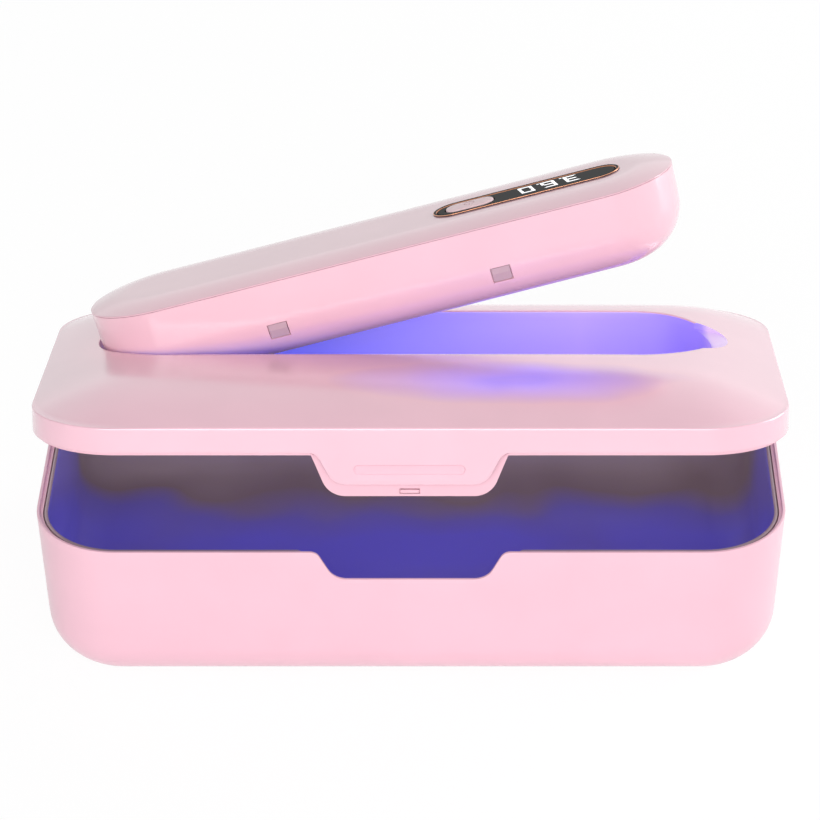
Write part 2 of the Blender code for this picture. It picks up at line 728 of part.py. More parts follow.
def foot_places():
    """Centres of the four feet, with their names."""
    return [
        ("front_left", -FOOT_X, -FOOT_Y),
        ("front_right", FOOT_X, -FOOT_Y),
        ("back_left", -FOOT_X, FOOT_Y),
        ("back_right", FOOT_X, FOOT_Y),
    ]


def make_feet(looks):
    """Round rubber feet, set into seats under the tub."""
    height = FOOT_PROUD + FOOT_SEAT_DEPTH - CLEARANCE
    for name, x, y in foot_places():
        foot = rod(FOOT_RADIUS, 0.0, height, facets=STADIUM_FACETS)
        add_piece(f"foot_{name}", foot, looks["rubber"], place=(x, y, 0.0))


def make_base_screws(looks):
    """Screws from below, through the shell's bosses into the liner's posts."""
    for name, x, y in screw_places_on_base():
        add_piece(
            f"base_screw_{name}",
            screw_shape(BASE_SCREW_SHAFT),
            looks["steel"],
            place=(x, y, FOOT_PROUD),
        )


def make_hinge_pins(looks):
    """A plain steel pin through each hinge."""
    _, spans = hinge_spans()
    reach = spans[1][1]
    for side, centre in hinge_sides():
        pin = rod(HINGE_PIN_RADIUS, -reach, reach, axis="X")
        add_piece(f"hinge_pin_{side}", pin, looks["steel"], place=(centre, HINGE_Y, HINGE_Z))


def cover_surface_height(inset):
    """Height of the lid's outer crown at a distance in from its edge."""
    share = min(inset / COVER_CROWN_INSET, 1.0)
    return COVER_CREASE + COVER_CROWN_HEIGHT * (1 - (1 - share) ** COVER_CROWN_POWER)


def collar_bottom():
    """Lower edge of the collar round the dock slot, where the dock tray meets it."""
    return COVER_TOP - COLLAR_REACH


def tray_top():
    """Top of the dock tray, a running gap under the collar."""
    return collar_bottom() - CLEARANCE


def dock_prism(wider, low, high):
    """Stadium of the dock, grown by a wall, between two heights."""
    half_width = DOCK_HALF_WIDTH + wider
    half_length = DOCK_HALF_LENGTH + wider
    return rounded_block(
        half_length, half_width, half_width, low, high, (DOCK_X, DOCK_SETBACK), STADIUM_FACETS
    )


def scoop_cone():
    """Finger scoop at the right end of the dock slot."""
    centre = DOCK_RIGHT + SCOOP_REACH - SCOOP_RADIUS
    high = cover_surface_height(DOCK_RIGHT_MARGIN - SCOOP_REACH)
    low = high - SCOOP_DEPTH
    slope = (SCOOP_RADIUS - SCOOP_FLOOR_RADIUS) / SCOOP_DEPTH
    return rod(
        SCOOP_FLOOR_RADIUS,
        low,
        high + OVERRUN,
        (centre, DOCK_SETBACK),
        facets=STADIUM_FACETS,
        end_radius=SCOOP_RADIUS + OVERRUN * slope,
    )


def cover_inside(lid):
    """Inside of the cover, with the dock's collar and the screw bosses left out."""
    crease = COVER_CREASE - COVER_INNER_DROP
    inner = rounded_block(
        BOX_HALF_LENGTH - COVER_WALL,
        BOX_HALF_DEPTH - COVER_WALL,
        COVER_CORNER - COVER_WALL,
        COVER_BOTTOM - OVERRUN,
        crease,
    )
    rise = COVER_TOP - COVER_WALL - crease
    grow(inner, 1, crown_profile(rise, COVER_CROWN_INSET - COVER_WALL, COVER_CROWN_POWER))
    hollow = add_tool("cover_hollow", inner, lid)
    cut(hollow, "cover_collar", dock_prism(COLLAR_WALL, collar_bottom(), COVER_TOP), lid)
    for name, x, y in screw_places_in_lid():
        cut(hollow, f"cover_boss_{name}", rod(LID_BOSS_RADIUS, LID_BOSS_BOTTOM, COVER_TOP, (x, y)), lid)
    return hollow


def make_lid_cover(looks, lid):
    """Crowned cover with its band, dock slot and collar, screw bosses, front tab and knuckles."""
    outer = rounded_block(BOX_HALF_LENGTH, BOX_HALF_DEPTH, COVER_CORNER, COVER_BOTTOM, COVER_CREASE)
    grow(outer, 1, crown_profile(COVER_CROWN_HEIGHT, COVER_CROWN_INSET, COVER_CROWN_POWER))
    cover = add_piece("lid_cover", outer, looks["pink"], lid)
    combine(cover, cover_inside(lid), "DIFFERENCE")
    cut(cover, "cover_slot", dock_prism(0.0, COVER_BOTTOM - OVERRUN, COVER_TOP + OVERRUN), lid)
    cut(cover, "cover_scoop", scoop_cone(), lid)
    bore_top = LID_BOSS_BOTTOM + LID_BOSS_BORE_DEPTH
    for name, x, y in screw_places_in_lid():
        bore = rod(SCREW_HOLE_RADIUS, LID_BOSS_BOTTOM - OVERRUN, bore_top, (x, y), facets=SMALL_FACETS)
        cut(cover, f"cover_bore_{name}", bore, lid)
    add_front_tab(cover, lid)
    (start, end), _ = hinge_spans()
    web_high = COVER_BOTTOM + HINGE_WEB_RISE
    for side, centre in hinge_sides():
        name = f"lid_knuckle_{side}"
        add_knuckle(cover, name, centre + start, centre + end, COVER_BOTTOM, web_high, lid)
    bore_hinges(cover, "lid_hinge", lid)


def front_tab_outline(room):
    """Outline of the cover's front tab, grown by some room."""
    return s_curve_outline(
        NOTCH_TOP_WIDTH / 2 - TAB_GAP + room,
        NOTCH_BOTTOM_WIDTH / 2 - TAB_GAP + room,
        RIM - NOTCH_DEPTH + TAB_GAP - room,
        COVER_BOTTOM - room,
        COVER_BAND / 2,
    )


def add_front_tab(cover, lid):
    """Tab that fills the tub's notch, leaning like the wall, with its grip bar."""
    tab = outline_plate(front_tab_outline(0.0), FRONT_FACE, FRONT_FACE + COVER_WALL)
    for vert in tab.verts:
        vert.co.y += wall_lean(RIM - vert.co.z)
    fuse(cover, "cover_tab", tab, lid)
    middle = COVER_BOTTOM - GRIP_BAR_DROP
    half_length = GRIP_BAR_LENGTH / 2
    half_height = GRIP_BAR_HEIGHT / 2
    bar = rounded_block(
        half_length,
        half_height,
        half_height,
        -COVER_WALL / 2,
        GRIP_BAR_PROUD,
        facets=ROD_FACETS,
    )
    bmesh.ops.rotate(bar, cent=(0, 0, 0), matrix=Matrix.Rotation(pi / 2 - TUB_DRAFT, 3, "X"), verts=bar.verts)
    front = FRONT_FACE + wall_lean(RIM - middle)
    bmesh.ops.translate(bar, vec=(0, front, middle), verts=bar.verts)
    fuse(cover, "cover_grip_bar", bar, lid)


def inner_tab_front():
    """Front face of the inner tab, clear of the leaning wall as the lid swings."""
    return FRONT_FACE + SHELL_WALL + wall_lean(NOTCH_DEPTH) / 2 + INNER_TAB_SWING_ROOM


def cut_frame_openings(frame, lid):
    """Hollow under the ceiling, and the openings for the dock tray and the front tab."""
    inset = FRAME_UPSTAND_INSET + FRAME_WALL
    hollow = rounded_block(
        BOX_HALF_LENGTH - inset,
        BOX_HALF_DEPTH - inset,
        COVER_CORNER - inset,
        FRAME_BOTTOM - OVERRUN,
        FRAME_CEILING,
    )
    cut(frame, "frame_hollow", hollow, lid)
    opening = dock_prism(TRAY_WALL + CLEARANCE, FRAME_BOTTOM, FRAME_PLATE_TOP + OVERRUN)
    cut(frame, "frame_dock_opening", opening, lid)
    tab = front_tab_outline(CLEARANCE)
    room = outline_plate(tab, FRONT_FACE - OVERRUN, FRONT_FACE + FRAME_UPSTAND_INSET)
    cut(frame, "frame_front_tab_room", room, lid)


def add_inner_tab(frame, lid):
    """Tab behind the front wall, with the pocket for the latch catch."""
    outline = s_curve_outline(
        NOTCH_TOP_WIDTH / 2 + INNER_TAB_MARGIN,
        NOTCH_BOTTOM_WIDTH / 2 + INNER_TAB_MARGIN,
        RIM - NOTCH_DEPTH - INNER_TAB_DROP,
        FRAME_BOTTOM,
        FRAME_TOP - FRAME_PLATE / 2 + FRAME_REACH,
    )
    front = inner_tab_front()
    fuse(frame, "frame_tab", outline_plate(outline, front, front + INNER_TAB_THICKNESS), lid)
    low, high = catch_heights()
    half = CATCH_WIDTH / 2 + CLEARANCE
    pocket = block(
        (-half, front - OVERRUN, low - CLEARANCE),
        (half, front + CATCH_THICKNESS - CATCH_PROUD + CLEARANCE, high + CLEARANCE),
    )
    cut(frame, "frame_catch_pocket", pocket, lid)


def make_lid_inner(looks, lid):
    """Inner frame: a ceiling plate with an upstand, a flange in the rebate and an inner tab."""
    outer = rounded_block(
        BOX_HALF_LENGTH - FRAME_FLANGE_INSET,
        BOX_HALF_DEPTH - FRAME_FLANGE_INSET,
        COVER_CORNER - FRAME_FLANGE_INSET,
        FRAME_BOTTOM,
        FRAME_BOTTOM + FRAME_FLANGE_HEIGHT,
    )
    step = FRAME_UPSTAND_INSET - FRAME_FLANGE_INSET
    grow(outer, 1, [(step, 0.0), (step, FRAME_PLATE_TOP - FRAME_BOTTOM - FRAME_FLANGE_HEIGHT)])
    frame = add_piece("lid_inner", outer, looks["inner"], lid)
    cut_frame_openings(frame, lid)
    add_inner_tab(frame, lid)
    for name, x, y in screw_places_in_lid():
        hole = rod(SCREW_HOLE_RADIUS, FRAME_BOTTOM, FRAME_PLATE_TOP + OVERRUN, (x, y), facets=SMALL_FACETS)
        cut(frame, f"frame_screw_hole_{name}", hole, lid)


def catch_heights():
    """Lower and upper edge of the latch catch, just under the notch."""
    high = RIM - NOTCH_DEPTH - CATCH_DROP
    return high - CATCH_HEIGHT, high


def make_latch_catch(looks, lid):
    """Small bar set into the inner tab, that grips behind the front wall."""
    low, high = catch_heights()
    front = inner_tab_front() - CATCH_PROUD
    half = CATCH_WIDTH / 2
    catch = block((-half, front, low), (half, front + CATCH_THICKNESS, high))
    add_piece("latch_catch", catch, looks["pad"], lid)


def make_reflector(looks, lid):
    """Bright sheet under the lid's ceiling, open at the dock and at the screws."""
    high = FRAME_CEILING - CLEARANCE
    low = high - REFLECTOR_THICKNESS
    inset = FRAME_UPSTAND_INSET + FRAME_WALL + REFLECTOR_MARGIN
    sheet = rounded_block(
        BOX_HALF_LENGTH - inset, BOX_HALF_DEPTH - inset, COVER_CORNER - inset, low, high
    )
    reflector = add_piece("lid_reflector", sheet, looks["mirror"], lid)
    opening = dock_prism(TRAY_WALL + REFLECTOR_MARGIN, low - OVERRUN, high + OVERRUN)
    cut(reflector, "reflector_dock_opening", opening, lid)
    for name, x, y in screw_places_in_lid():
        hole = rod(HEAD_HOLE_RADIUS, low - OVERRUN, high + OVERRUN, (x, y))
        cut(reflector, f"reflector_hole_{name}", hole, lid)


def make_lid_screws(looks, lid):
    """Screws from below, through the inner frame into the cover's bosses."""
    head_low = FRAME_CEILING - CLEARANCE - SCREW_HEAD_HEIGHT
    for name, x, y in screw_places_in_lid():
        add_piece(
            f"lid_screw_{name}",
            screw_shape(LID_SCREW_SHAFT),
            looks["steel"],
            lid,
            (x, y, head_low),
        )


def ledge_top():
    """Height of the tray's ledge, whose edge is just clear of the docked wand's belly."""
    inset = TRAY_LEDGE - DOCK_LEFT_GAP
    reach = fillet_centre_inset(WAND_HEIGHT, WAND_DRAFT, WAND_FILLET) - inset
    rise = WAND_FILLET - sqrt(WAND_FILLET**2 - reach**2)
    return DOCKED_Z + WAND_BOTTOM + rise - BELLY_GAP


def tray_well(shelf, high, lid):
    """Room for the wand over the ledge, with the finger ramp at its right end left out."""
    well = add_tool("tray_well", dock_prism(0.0, shelf, high + OVERRUN), lid)
    ramp_start = DOCK_RIGHT - TRAY_RAMP_LENGTH
    outline = [
        (ramp_start, shelf - TRAY_FLOOR / 2),
        (DOCK_RIGHT + TRAY_WALL, shelf - TRAY_FLOOR / 2),
        (DOCK_RIGHT + TRAY_WALL, high),
        (DOCK_RIGHT, high),
        (ramp_start, high - TRAY_RAMP_DROP),
    ]
    half = DOCK_HALF_WIDTH + TRAY_WALL
    cut(well, "tray_ramp", outline_plate(outline, DOCK_SETBACK - half, DOCK_SETBACK + half), lid)
    return well


def make_dock_tray(looks, lid):
    """Well that the wand rests in: walls, a ledge, a flange and the finger ramp."""
    high = tray_top()
    shelf = ledge_top()
    low = shelf - TRAY_FLOOR
    tray = add_piece("dock_tray", dock_prism(TRAY_WALL, low, high), looks["dock"], lid)
    flange_top = LID_BOSS_BOTTOM + TRAY_FLANGE_THICKNESS
    fuse(tray, "tray_flange", dock_prism(TRAY_WALL + TRAY_FLANGE, LID_BOSS_BOTTOM, flange_top), lid)
    combine(tray, tray_well(shelf, high, lid), "DIFFERENCE")
    half_width = DOCK_HALF_WIDTH - TRAY_LEDGE
    opening = rounded_block(
        WAND_HALF_LENGTH + DOCK_LEFT_GAP - TRAY_LEDGE,
        half_width,
        half_width,
        low - OVERRUN,
        shelf + OVERRUN,
        (DOCKED_X, DOCK_SETBACK),
        STADIUM_FACETS,
    )
    cut(tray, "tray_opening", opening, lid)


def wand_stadium(inset, low, high):
    """Stadium of the wand's outline, set in, between two heights."""
    half_width = WAND_HALF_WIDTH - inset
    return rounded_block(
        WAND_HALF_LENGTH - inset, half_width, half_width, low, high, facets=STADIUM_FACETS
    )


def wand_body(inset, bottom, above=0.0, step_count=FILLET_STEPS):
    """The wand's drafted belly under its crease, set in from its outside."""
    top = -CREASE_HALF_GAP
    shape = wand_stadium(inset, top - WAND_LAND, top + above)
    depth = top - WAND_LAND - bottom
    return grow(shape, -1, drafted_profile(depth, WAND_DRAFT, WAND_FILLET - inset, step_count))


def panel_stadium(half_length, half_width, low, high):
    """Stadium at the display's place between two heights."""
    return rounded_block(
        half_length, half_width, half_width, low, high, (PANEL_X, 0.0), STADIUM_FACETS
    )


def wand_ends():
    """The wand's two screw places: name and place along it."""
    return [("left", -WAND_POST_X), ("right", WAND_POST_X)]


def wand_cover_inside(wand):
    """Inside of the wand's cover within its rib, with the screw bosses left out."""
    rib_inset = WAND_WALL + CLEARANCE + WAND_RIB_WALL
    low = CREASE_HALF_GAP - WAND_RIB_DEPTH - OVERRUN
    hollow = wand_stadium(rib_inset, low, CREASE_HALF_GAP)
    share = 1 - (1 - WAND_COVER_THICKNESS / WAND_CROWN_HEIGHT) ** (1 / WAND_CROWN_POWER)
    edge = max(WAND_CROWN_INSET * share - rib_inset, 0.0)
    rise = WAND_TOP - WAND_COVER_THICKNESS - CREASE_HALF_GAP
    width = WAND_CROWN_INSET - rib_inset - edge
    crown = crown_profile(rise, width, WAND_CROWN_POWER, INNER_CROWN_STEP_SHARES)
    grow(hollow, 1, [(edge, 0.0)] + [(edge + inset, height) for inset, height in crown])
    tool = add_tool("wand_cover_hollow", hollow, wand)
    for side, x in wand_ends():
        boss = rod(WAND_BOSS_RADIUS, low - CLEARANCE, WAND_TOP, (x, 0.0))
        cut(tool, f"wand_cover_boss_{side}", boss, wand)
    return tool


def add_wand_bosses(cover, wand):
    """The bosses' lower ends, with the bores for the wand's screws."""
    low = -WAND_BOSS_BOTTOM
    for side, x in wand_ends():
        boss = rod(WAND_BOSS_RADIUS, low, CREASE_HALF_GAP - WAND_RIB_DEPTH / 2, (x, 0.0))
        fuse(cover, f"wand_boss_{side}", boss, wand)
        bore = rod(SCREW_HOLE_RADIUS, low - OVERRUN, low + WAND_BORE_DEPTH, (x, 0.0), facets=SMALL_FACETS)
        cut(cover, f"wand_boss_bore_{side}", bore, wand)


def make_wand_cover(looks, wand):
    """Crowned top of the wand with a locating rib, display opening and screw bosses."""
    shape = wand_stadium(0.0, CREASE_HALF_GAP, COVER_EDGE_TOP)
    grow(shape, 1, crown_profile(WAND_CROWN_HEIGHT, WAND_CROWN_INSET, WAND_CROWN_POWER))
    rib_inset = WAND_WALL + CLEARANCE
    grow(shape, -1, [(rib_inset, 0.0), (rib_inset, WAND_RIB_DEPTH)])
    cover = add_piece("wand_cover", shape, looks["pale"], wand)
    combine(cover, wand_cover_inside(wand), "DIFFERENCE")
    add_wand_bosses(cover, wand)
    opening = panel_stadium(
        BEZEL_LENGTH / 2 - BEZEL_LIP + CLEARANCE,
        BEZEL_WIDTH / 2 - BEZEL_LIP + CLEARANCE,
        CREASE_HALF_GAP - WAND_RIB_DEPTH,
        WAND_TOP + OVERRUN,
    )
    cut(cover, "wand_cover_opening", opening, wand)


def make_bezel(looks, wand):
    """Copper ring round the display: a lip on the cover, a sleeve and a ledge."""
    lip_low = WAND_TOP + CLEARANCE
    shape = panel_stadium(BEZEL_LENGTH / 2, BEZEL_WIDTH / 2, lip_low, BEZEL_TOP)
    grow(shape, -1, [(BEZEL_LIP, 0.0), (BEZEL_LIP, lip_low - BEZEL_BOTTOM)])
    bezel = add_piece("display_bezel", shape, looks["copper"], wand)
    seat = panel_stadium(
        PANEL_HALF_LENGTH + CLEARANCE,
        PANEL_HALF_WIDTH + CLEARANCE,
        PANEL_BOTTOM - CLEARANCE,
        BEZEL_TOP + OVERRUN,
    )
    cut(bezel, "bezel_seat", seat, wand)
    opening = panel_stadium(
        PANEL_HALF_LENGTH + CLEARANCE - BEZEL_LEDGE,
        PANEL_HALF_WIDTH + CLEARANCE - BEZEL_LEDGE,
        BEZEL_BOTTOM - OVERRUN,
        BEZEL_TOP,
    )
    cut(bezel, "bezel_opening", opening, wand)


def make_panel(looks, wand):
    """Black display panel with the opening that the button travels in."""
    shape = panel_stadium(PANEL_HALF_LENGTH, PANEL_HALF_WIDTH, PANEL_BOTTOM, PANEL_TOP)
    panel = add_piece("display_panel", shape, looks["glass"], wand)
    half_width = BUTTON_WIDTH / 2 + CLEARANCE
    opening = rounded_block(
        BUTTON_LENGTH / 2 + CLEARANCE,
        half_width,
        half_width,
        PANEL_BOTTOM - OVERRUN,
        PANEL_TOP + OVERRUN,
        (BUTTON_X, 0.0),
        STADIUM_FACETS,
    )
    cut(panel, "panel_button_opening", opening, wand)


def make_button(looks, wand):
    """Pill-shaped power button with its stem, on its own press axis."""
    half_width = BUTTON_WIDTH / 2
    shape = rounded_block(
        BUTTON_LENGTH / 2,
        half_width,
        half_width,
        0.0,
        BUTTON_CAP_HEIGHT - BUTTON_EDGE,
        facets=STADIUM_FACETS,
    )
    angles = [pi / 2 * step / HIDDEN_FILLET_STEPS for step in range(1, HIDDEN_FILLET_STEPS + 1)]
    grow(shape, 1, [(BUTTON_EDGE * (1 - cos(angle)), BUTTON_EDGE * sin(angle)) for angle in angles])
    place = (BUTTON_X, 0.0, BUTTON_BOTTOM)
    button = add_piece("power_button", shape, looks["pale"], wand, place)
    stem = add_tool(
        "button_stem",
        rod(BUTTON_STEM_RADIUS, -BUTTON_STEM_LENGTH, BUTTON_CAP_HEIGHT / 2, facets=SMALL_FACETS),
        wand,
    )
    stem.location = stem.location + Vector(place)
    combine(button, stem, "UNION")


def cross_rib(name, x, half, top, wand):
    """Cross rib of the wand's shell, with a channel for the lamp board."""
    low = WAND_BOTTOM - OVERRUN
    form = block((x - half, -WAND_HALF_WIDTH, low), (x + half, WAND_HALF_WIDTH, top))
    rib = add_tool(name, form, wand)
    half_width = LED_BOARD_WIDTH / 2 + CLEARANCE
    reach = half + OVERRUN
    channel = block(
        (x - reach, -half_width, low - OVERRUN), (x + reach, half_width, LED_BOARD_TOP + CLEARANCE)
    )
    cut(rib, name + "_channel", channel, wand)
    return rib


def cradle_rib(name, x, wand):
    """Cross rib that holds the battery."""
    half = CRADLE_THICKNESS / 2
    rib = cross_rib(name, x, half, -BATTERY_DROP, wand)
    reach = half + OVERRUN
    radius = BATTERY_RADIUS + CLEARANCE
    battery = rod(radius, x - reach, x + reach, (0.0, -BATTERY_DROP), "X", STADIUM_FACETS)
    cut(rib, name + "_battery", battery, wand)
    return rib


def wand_inside(wand):
    """Inside of the wand's shell, with its ribs and screw posts left out."""
    form = wand_body(WAND_WALL, WAND_INNER_FLOOR, OVERRUN, HIDDEN_FILLET_STEPS)
    hollow = add_tool("wand_hollow", form, wand)
    battery_half = BATTERY_LENGTH / 2 - CRADLE_INSET
    for number, x in enumerate((BATTERY_X - battery_half, BATTERY_X + battery_half)):
        combine(hollow, cradle_rib(f"cradle_rib_{number}", x, wand), "DIFFERENCE")
    board_half = MAIN_BOARD_LENGTH / 2 - BOARD_RIB_INSET
    board_rib_top = MAIN_BOARD_BOTTOM - CLEARANCE
    for number, x in enumerate((PANEL_X - board_half, PANEL_X + board_half)):
        rib = cross_rib(f"board_rib_{number}", x, BOARD_RIB_THICKNESS / 2, board_rib_top, wand)
        combine(hollow, rib, "DIFFERENCE")
    for side, x in wand_ends():
        post = rod(WAND_POST_RADIUS, WAND_BOTTOM - OVERRUN, WAND_POST_TOP, (x, 0.0))
        cut(hollow, f"wand_post_{side}", post, wand)
    return hollow


def cut_wand_screw_holes(shell, wand):
    """Recessed holes for the two screws in the wand's belly."""
    head_hole_top = WAND_BOTTOM + WAND_SCREW_RECESS + HEAD_HOLE_DEPTH
    hole_top = WAND_POST_TOP + OVERRUN
    for side, x in wand_ends():
        head = rod(HEAD_HOLE_RADIUS, WAND_BOTTOM - OVERRUN, head_hole_top, (x, 0.0))
        cut(shell, f"wand_head_hole_{side}", head, wand)
        hole = rod(SCREW_HOLE_RADIUS, WAND_BOTTOM, hole_top, (x, 0.0), facets=SMALL_FACETS)
        cut(shell, f"wand_screw_hole_{side}", hole, wand)


def make_wand_shell(looks, wand):
    """Belly of the wand: drafted walls, cross ribs, screw posts, lamp slot, pad seats."""
    shell = add_piece("wand_shell", wand_body(0.0, WAND_BOTTOM), looks["pale"], wand)
    combine(shell, wand_inside(wand), "DIFFERENCE")
    slot_half = WINDOW_WIDTH / 2 + CLEARANCE
    slot = rounded_block(
        WINDOW_LENGTH / 2 + CLEARANCE,
        slot_half,
        slot_half,
        WAND_BOTTOM - OVERRUN,
        WINDOW_TOP,
        facets=ROD_FACETS,
    )
    cut(shell, "wand_lamp_slot", slot, wand)
    cut_wand_screw_holes(shell, wand)
    for name, x, side in side_pad_places():
        seat = side_pad_block(x, side, SIDE_PAD_THICKNESS + CLEARANCE, CLEARANCE, OVERRUN)
        cut(shell, f"wand_pad_seat_{name}", seat, wand)
    cut(shell, "wand_usb_hole", usb_block(CLEARANCE, OVERRUN), wand)


def side_pad_places():
    """The pads on the wand's long sides: name, place along it and side."""
    half = SIDE_PAD_SPACING / 2
    return [
        ("front_left", SIDE_PAD_SHIFT - half, -1),
        ("front_right", SIDE_PAD_SHIFT + half, -1),
        ("back_left", SIDE_PAD_SHIFT - half, 1),
        ("back_right", SIDE_PAD_SHIFT + half, 1),
    ]


def side_pad_block(x, side, depth, room, beyond):
    """Box at a side pad's place, square to the belly, from a depth under its face outwards."""
    height = WAND_HEIGHT - SIDE_PAD_DROP
    half_length = SIDE_PAD_LENGTH / 2 + room
    half_height = SIDE_PAD_HEIGHT / 2 + room
    shape = block((-half_length, -depth, -half_height), (half_length, beyond, half_height))
    lean = asin((WAND_FILLET - height) / WAND_FILLET)
    bmesh.ops.rotate(shape, cent=(0, 0, 0), matrix=Matrix.Rotation(-lean, 3, "X"), verts=shape.verts)
    bmesh.ops.translate(shape, vec=(x, belly_half_width(height), -SIDE_PAD_DROP), verts=shape.verts)
    bmesh.ops.scale(shape, vec=(1, side, 1), verts=shape.verts)
    return shape


def make_side_pads(looks, wand):
    """Small square pads, flush with the wand's curved sides."""
    form = add_tool("wand_form", wand_body(0.0, WAND_BOTTOM), wand)
    for name, x, side in side_pad_places():
        shape = side_pad_block(x, side, SIDE_PAD_THICKNESS, 0.0, OVERRUN)
        pad = add_piece(f"side_pad_{name}", shape, looks["pad"], wand)
        combine(pad, form, "INTERSECT")


def usb_block(room, beyond):
    """Box at the socket's place in the wand's back wall."""
    half_width = USB_WIDTH / 2 + room
    return block(
        (USB_X - half_width, USB_MOUTH_Y - USB_DEPTH - room, USB_TOP - USB_HEIGHT - room),
        (USB_X + half_width, USB_MOUTH_Y + beyond, USB_TOP + room),
    )


def make_usb_socket(looks, wand):
    """Charging socket under the main board, open at the wand's back."""
    socket = add_piece("usb_socket", usb_block(0.0, 0.0), looks["steel"], wand)
    high = USB_TOP - USB_WALL
    low = USB_TOP - USB_HEIGHT + USB_WALL
    back = USB_MOUTH_Y - USB_DEPTH + USB_WALL
    half_width = USB_WIDTH / 2 - USB_WALL
    mouth_form = block(
        (USB_X - half_width, back, low), (USB_X + half_width, USB_MOUTH_Y + OVERRUN, high)
    )
    mouth = add_tool("usb_mouth", mouth_form, wand)
    middle = (low + high) / 2
    half_tongue = USB_TONGUE_THICKNESS / 2
    tongue = block(
        (USB_X - half_width / 2, back - OVERRUN, middle - half_tongue),
        (USB_X + half_width / 2, USB_MOUTH_Y - USB_WALL, middle + half_tongue),
    )
    cut(mouth, "usb_tongue", tongue, wand)
    combine(socket, mouth, "DIFFERENCE")


def make_wand_screws(looks, wand):
    """Two long screws up through the shell's posts into the cover's bosses."""
    for side, x in wand_ends():
        add_piece(
            f"wand_screw_{side}",
            screw_shape(WAND_SCREW_SHAFT),
            looks["steel"],
            wand,
            (x, 0.0, WAND_BOTTOM + WAND_SCREW_RECESS),
        )


def make_main_board(looks, wand):
    """Control board with the display module, the switch and the socket on it."""
    half_length = MAIN_BOARD_LENGTH / 2
    half_width = MAIN_BOARD_WIDTH / 2
    board = block(
        (PANEL_X - half_length, -half_width, MAIN_BOARD_BOTTOM),
        (PANEL_X + half_length, half_width, MAIN_BOARD_TOP),
    )
    add_piece("main_board", board, looks["board"], wand)
    module = block(
        (MODULE_X - MODULE_LENGTH / 2, -MODULE_WIDTH / 2, MAIN_BOARD_TOP + CLEARANCE),
        (MODULE_X + MODULE_LENGTH / 2, MODULE_WIDTH / 2, PANEL_BOTTOM - CLEARANCE),
    )
    add_piece("display_module", module, looks["glass"], wand)
    half = SWITCH_SIZE / 2
    stem_end = BUTTON_BOTTOM - BUTTON_STEM_LENGTH
    switch = block(
        (BUTTON_X - half, -half, MAIN_BOARD_TOP + CLEARANCE),
        (BUTTON_X + half, half, stem_end - BUTTON_TRAVEL - CLEARANCE),
    )
    add_piece("button_switch", switch, looks["glass"], wand)


def make_battery(looks, wand):
    """Round lithium cell in the shell's cradle ribs."""
    half = BATTERY_LENGTH / 2
    cell = rod(BATTERY_RADIUS, -half, half, axis="X", facets=STADIUM_FACETS)
    add_piece("wand_battery", cell, looks["battery"], wand, (BATTERY_X, 0.0, -BATTERY_DROP))


def make_lamp(looks, wand):
    """Lamp board with its row of ultraviolet LEDs over the window in the belly."""
    half_width = LED_BOARD_WIDTH / 2
    half_length = LED_BOARD_LENGTH / 2
    board = block((-half_length, -half_width, LED_BOARD_BOTTOM), (half_length, half_width, LED_BOARD_TOP))
    add_piece("led_board", board, looks["board"], wand)
    pitch = LED_BOARD_LENGTH / LED_COUNT
    half = LED_SIZE / 2
    for number in range(LED_COUNT):
        led = block((-half, -half, 0.0), (half, half, LED_HEIGHT))
        x = -half_length + pitch / 2 + pitch * number
        add_piece(f"uv_led_{number + 1}", led, looks["lamp"], wand, (x, 0.0, LED_BOTTOM))
    plug_half = WINDOW_WIDTH / 2
    window = rounded_block(
        WINDOW_LENGTH / 2,
        plug_half,
        plug_half,
        WINDOW_BOTTOM,
        WINDOW_FLANGE_BOTTOM + WINDOW_FLANGE_THICKNESS / 2,
        facets=ROD_FACETS,
    )
    pane = add_piece("lamp_window", window, looks["lamp"], wand)
    flange_half = plug_half + WINDOW_FLANGE
    flange = rounded_block(
        WINDOW_LENGTH / 2 + WINDOW_FLANGE,
        flange_half,
        flange_half,
        WINDOW_FLANGE_BOTTOM,
        WINDOW_TOP,
        facets=ROD_FACETS,
    )
    fuse(pane, "window_flange", flange, wand)


def add_empty(name, parent, location):
    """An empty on a joint's axis."""
    axis = bpy.data.objects.new(name, None)
    PARTS.objects.link(axis)
    axis.parent = parent
    axis.location = location
    return axis


def main():
    """Build every piece and turn the lid and the wand to their places."""
    looks = make_materials()
    hinge = Vector((0.0, HINGE_Y, HINGE_Z))
    lid_axis = add_empty("lid_hinge_axis", None, hinge)
    tilt = Vector((TILT_X, DOCK_SETBACK, TILT_Z))
    wand_axis = add_empty("wand_tilt_axis", lid_axis, tilt - hinge)
    lid = (lid_axis, -hinge)
    wand = (wand_axis, Vector((DOCKED_X, DOCK_SETBACK, DOCKED_Z)) - tilt)
    make_tub_shell(looks)
    make_tub_liner(looks)
    make_feet(looks)
    make_base_screws(looks)
    make_hinge_pins(looks)
    make_lid_cover(looks, lid)
    make_lid_inner(looks, lid)
    make_latch_catch(looks, lid)
    make_reflector(looks, lid)
    make_lid_screws(looks, lid)
    make_dock_tray(looks, lid)
    make_wand_cover(looks, wand)
    make_wand_shell(looks, wand)
    make_bezel(looks, wand)
    make_panel(looks, wand)
    make_button(looks, wand)
    make_main_board(looks, wand)
    make_battery(looks, wand)
    make_lamp(looks, wand)
    make_usb_socket(looks, wand)
    make_side_pads(looks, wand)
    make_wand_screws(looks, wand)
    lid_axis.rotation_euler.x = -LID_OPEN
    wand_axis.rotation_euler.y = -WAND_LIFT


clear_scene()
PARTS = new_collection("uv_sterilizer_box")
TOOLS = new_collection("cutters")
main()
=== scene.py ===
"""Looks of the UV sterilizer box: smooth plastic shells, the dock with its painted lamp light, the lit wand, and the
studio.

Everything is in metres in the row frame. Shells are modelled with the lid shut or in the wand's
own frame, then carried to their places at rest.
"""

